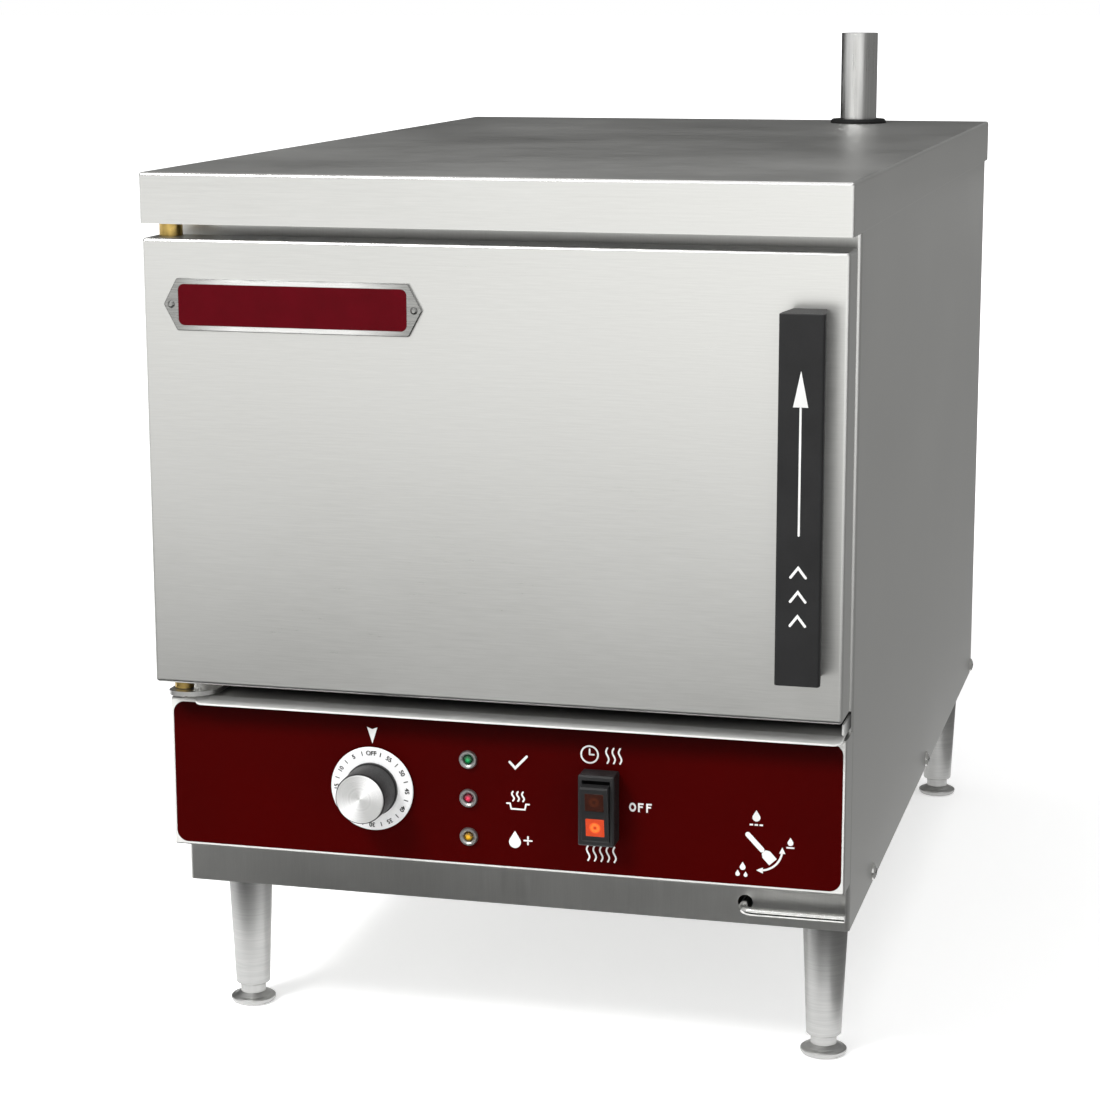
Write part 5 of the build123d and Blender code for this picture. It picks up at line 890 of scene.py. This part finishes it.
def level(x0, x1, y0, y1, z=CARD_Z):
    return [(x0, y0, z), (x1, y0, z), (x1, y1, z), (x0, y1, z)]


def upright(start, finish, z0, z1):
    return [(*start, z0), (*finish, z0), (*finish, z1), (*start, z1)]


def stage_sheet(name, corners, material):
    mesh = bpy.data.meshes.new(name)
    mesh.from_pydata(corners, [], [tuple(range(len(corners)))])
    made = add_object(name, mesh, material)
    return made


def floor_look():
    """Pale floor that goes on to white: it keeps the shadow and shows white in reflections too."""
    look = Look("floor")
    path = look.add("ShaderNodeLightPath").outputs
    seen = look.math("MAXIMUM", path["Is Camera Ray"],
                     look.math("MAXIMUM", path["Is Glossy Ray"], path["Is Transmission Ray"]))
    glow = look.spread(look.vector("LENGTH", look.place), 1.0, 3.0, 0.42, 1.0)
    base = look.mix(look.grain(3.0), (0.88, 0.88, 0.88), (0.90, 0.90, 0.90))
    return look.set(Base_Color=base, Roughness=0.9, Emission_Color=WHITE,
                    Emission_Strength=look.math("MULTIPLY", seen, glow))


def card_look(name, axis, span, levels):
    """Light that changes evenly along one axis of the card, from levels[0] to levels[1]."""
    look = Look(name)
    strength = look.spread(look.split(look.place)[axis], *span, *levels)
    return look.set(Base_Color=BLACK, Specular_IOR_Level=0.0, Roughness=1.0,
                    Emission_Color=CARD_TINT, Emission_Strength=strength)


def card(name, corners, axis, span, levels):
    """A studio card that only shows in reflections."""
    made = stage_sheet(name, corners, card_look(name, axis, span, levels))
    made.visible_camera = False
    made.visible_diffuse = False
    made.visible_shadow = False
    made.visible_transmission = False
    made.visible_volume_scatter = False


stage_sheet("floor", level(-FAR, FAR, -FAR, FAR, 0.0), floor_look())

# Cards on the floor in front, and one far in front that stands up
card("card_foot", level(-3.0, 1.6, -1.6, -0.42), 1, (-0.74, -1.6), (0.02, 0.74))
card("card_front", level(-3.0, 1.6, -5.0, -1.6), 1, (-1.6, -4.4), (0.74, 2.1))
card("card_far", level(-9.0, 5.0, -14.0, -5.0), 0, (-4.4, -0.9), (1.9, 2.3))
card("card_wall", upright((-9.0, -14.0), (5.0, -14.0), 0.0, 5.0), 0, (-4.4, -0.9), (0.30, 1.75))
# Left and right of the object
card("card_left", upright((-2.2, 0.3), (-2.2, 3.0), 0.45, 2.2), 2, (0.0, 2.0), (0.12, 0.16))
card("card_side", level(0.27, 9.0, -0.5, 14.0), 1, (0.0, 6.0), (0.30, 0.30))
card("card_right", upright((0.75, -0.6), (1.6, 4.5), 0.0, 2.2), 2, (0.0, 2.0), (0.30, 0.32))
# Behind it, for the top of the cover
card("card_back", upright((-3.0, 1.7), (2.2, 1.7), 0.5, 1.7), 2, (0.80, 1.10), (0.24, 0.30))
card("card_near", upright((-1.6, 0.85), (0.20, 0.85), 0.5, 2.3), 2, (0.84, 1.36), (0.0, 0.52))


def world():
    """White for the camera. For all else it is brightest in front of the object and darker behind."""
    sky = bpy.data.worlds.new("studio")
    bpy.context.scene.world = sky
    sky.use_nodes = True
    nodes = Nodes(sky.node_tree)
    direction = nodes.split(nodes.add("ShaderNodeTexCoord").outputs["Generated"])
    strength = nodes.spread(direction[1], -0.7, 0.6, 1.0, 0.22)
    seen = nodes.add("ShaderNodeLightPath").outputs["Is Camera Ray"]
    back = nodes.tree.nodes["Background"]
    nodes.feed(back.inputs["Strength"], nodes.blend(seen, strength, 1.0))
    nodes.feed(back.inputs["Color"], WHITE)


world()


def lamp(name, place, target, size, power):
    light = bpy.data.lights.new(name, "AREA")
    light.shape = "RECTANGLE"
    light.size = light.size_y = size
    light.energy = power
    made = bpy.data.objects.new(name, light)
    bpy.context.scene.collection.objects.link(made)
    made.location = place
    aim = Vector(target) - Vector(place)
    made.rotation_euler = aim.to_track_quat("-Z", "Y").to_euler()


lamp("key", (-1.1, -2.0, 2.3), (0.0, 0.0, 0.3), 0.8, 64.0)
lamp("top", (0.3, 0.4, 2.8), (0.0, 0.1, 0.4), 2.0, 20.0)


def camera():
    data = bpy.data.cameras.new("camera")
    data.lens = LENS
    data.sensor_width = SENSOR
    data.clip_end = CLIP_END
    made = bpy.data.objects.new("camera", data)
    bpy.context.scene.collection.objects.link(made)
    azimuth, down, roll = (math.radians(turn) for turn in (CAMERA_AZIMUTH, CAMERA_DOWN, CAMERA_ROLL))
    flat = math.cos(down)
    forward = Vector((-math.sin(azimuth) * flat, math.cos(azimuth) * flat, -math.sin(down)))
    right = Vector((math.cos(azimuth), math.sin(azimuth), 0))
    up = right.cross(forward)
    rolled_right = math.cos(roll) * right + math.sin(roll) * up
    rolled_up = -math.sin(roll) * right + math.cos(roll) * up
    turn = Matrix((rolled_right, rolled_up, -forward)).transposed().to_4x4()
    made.matrix_world = Matrix.Translation(CAMERA_AT) @ turn
    bpy.context.scene.camera = made


camera()
bpy.context.scene.view_settings.view_transform = "Standard"
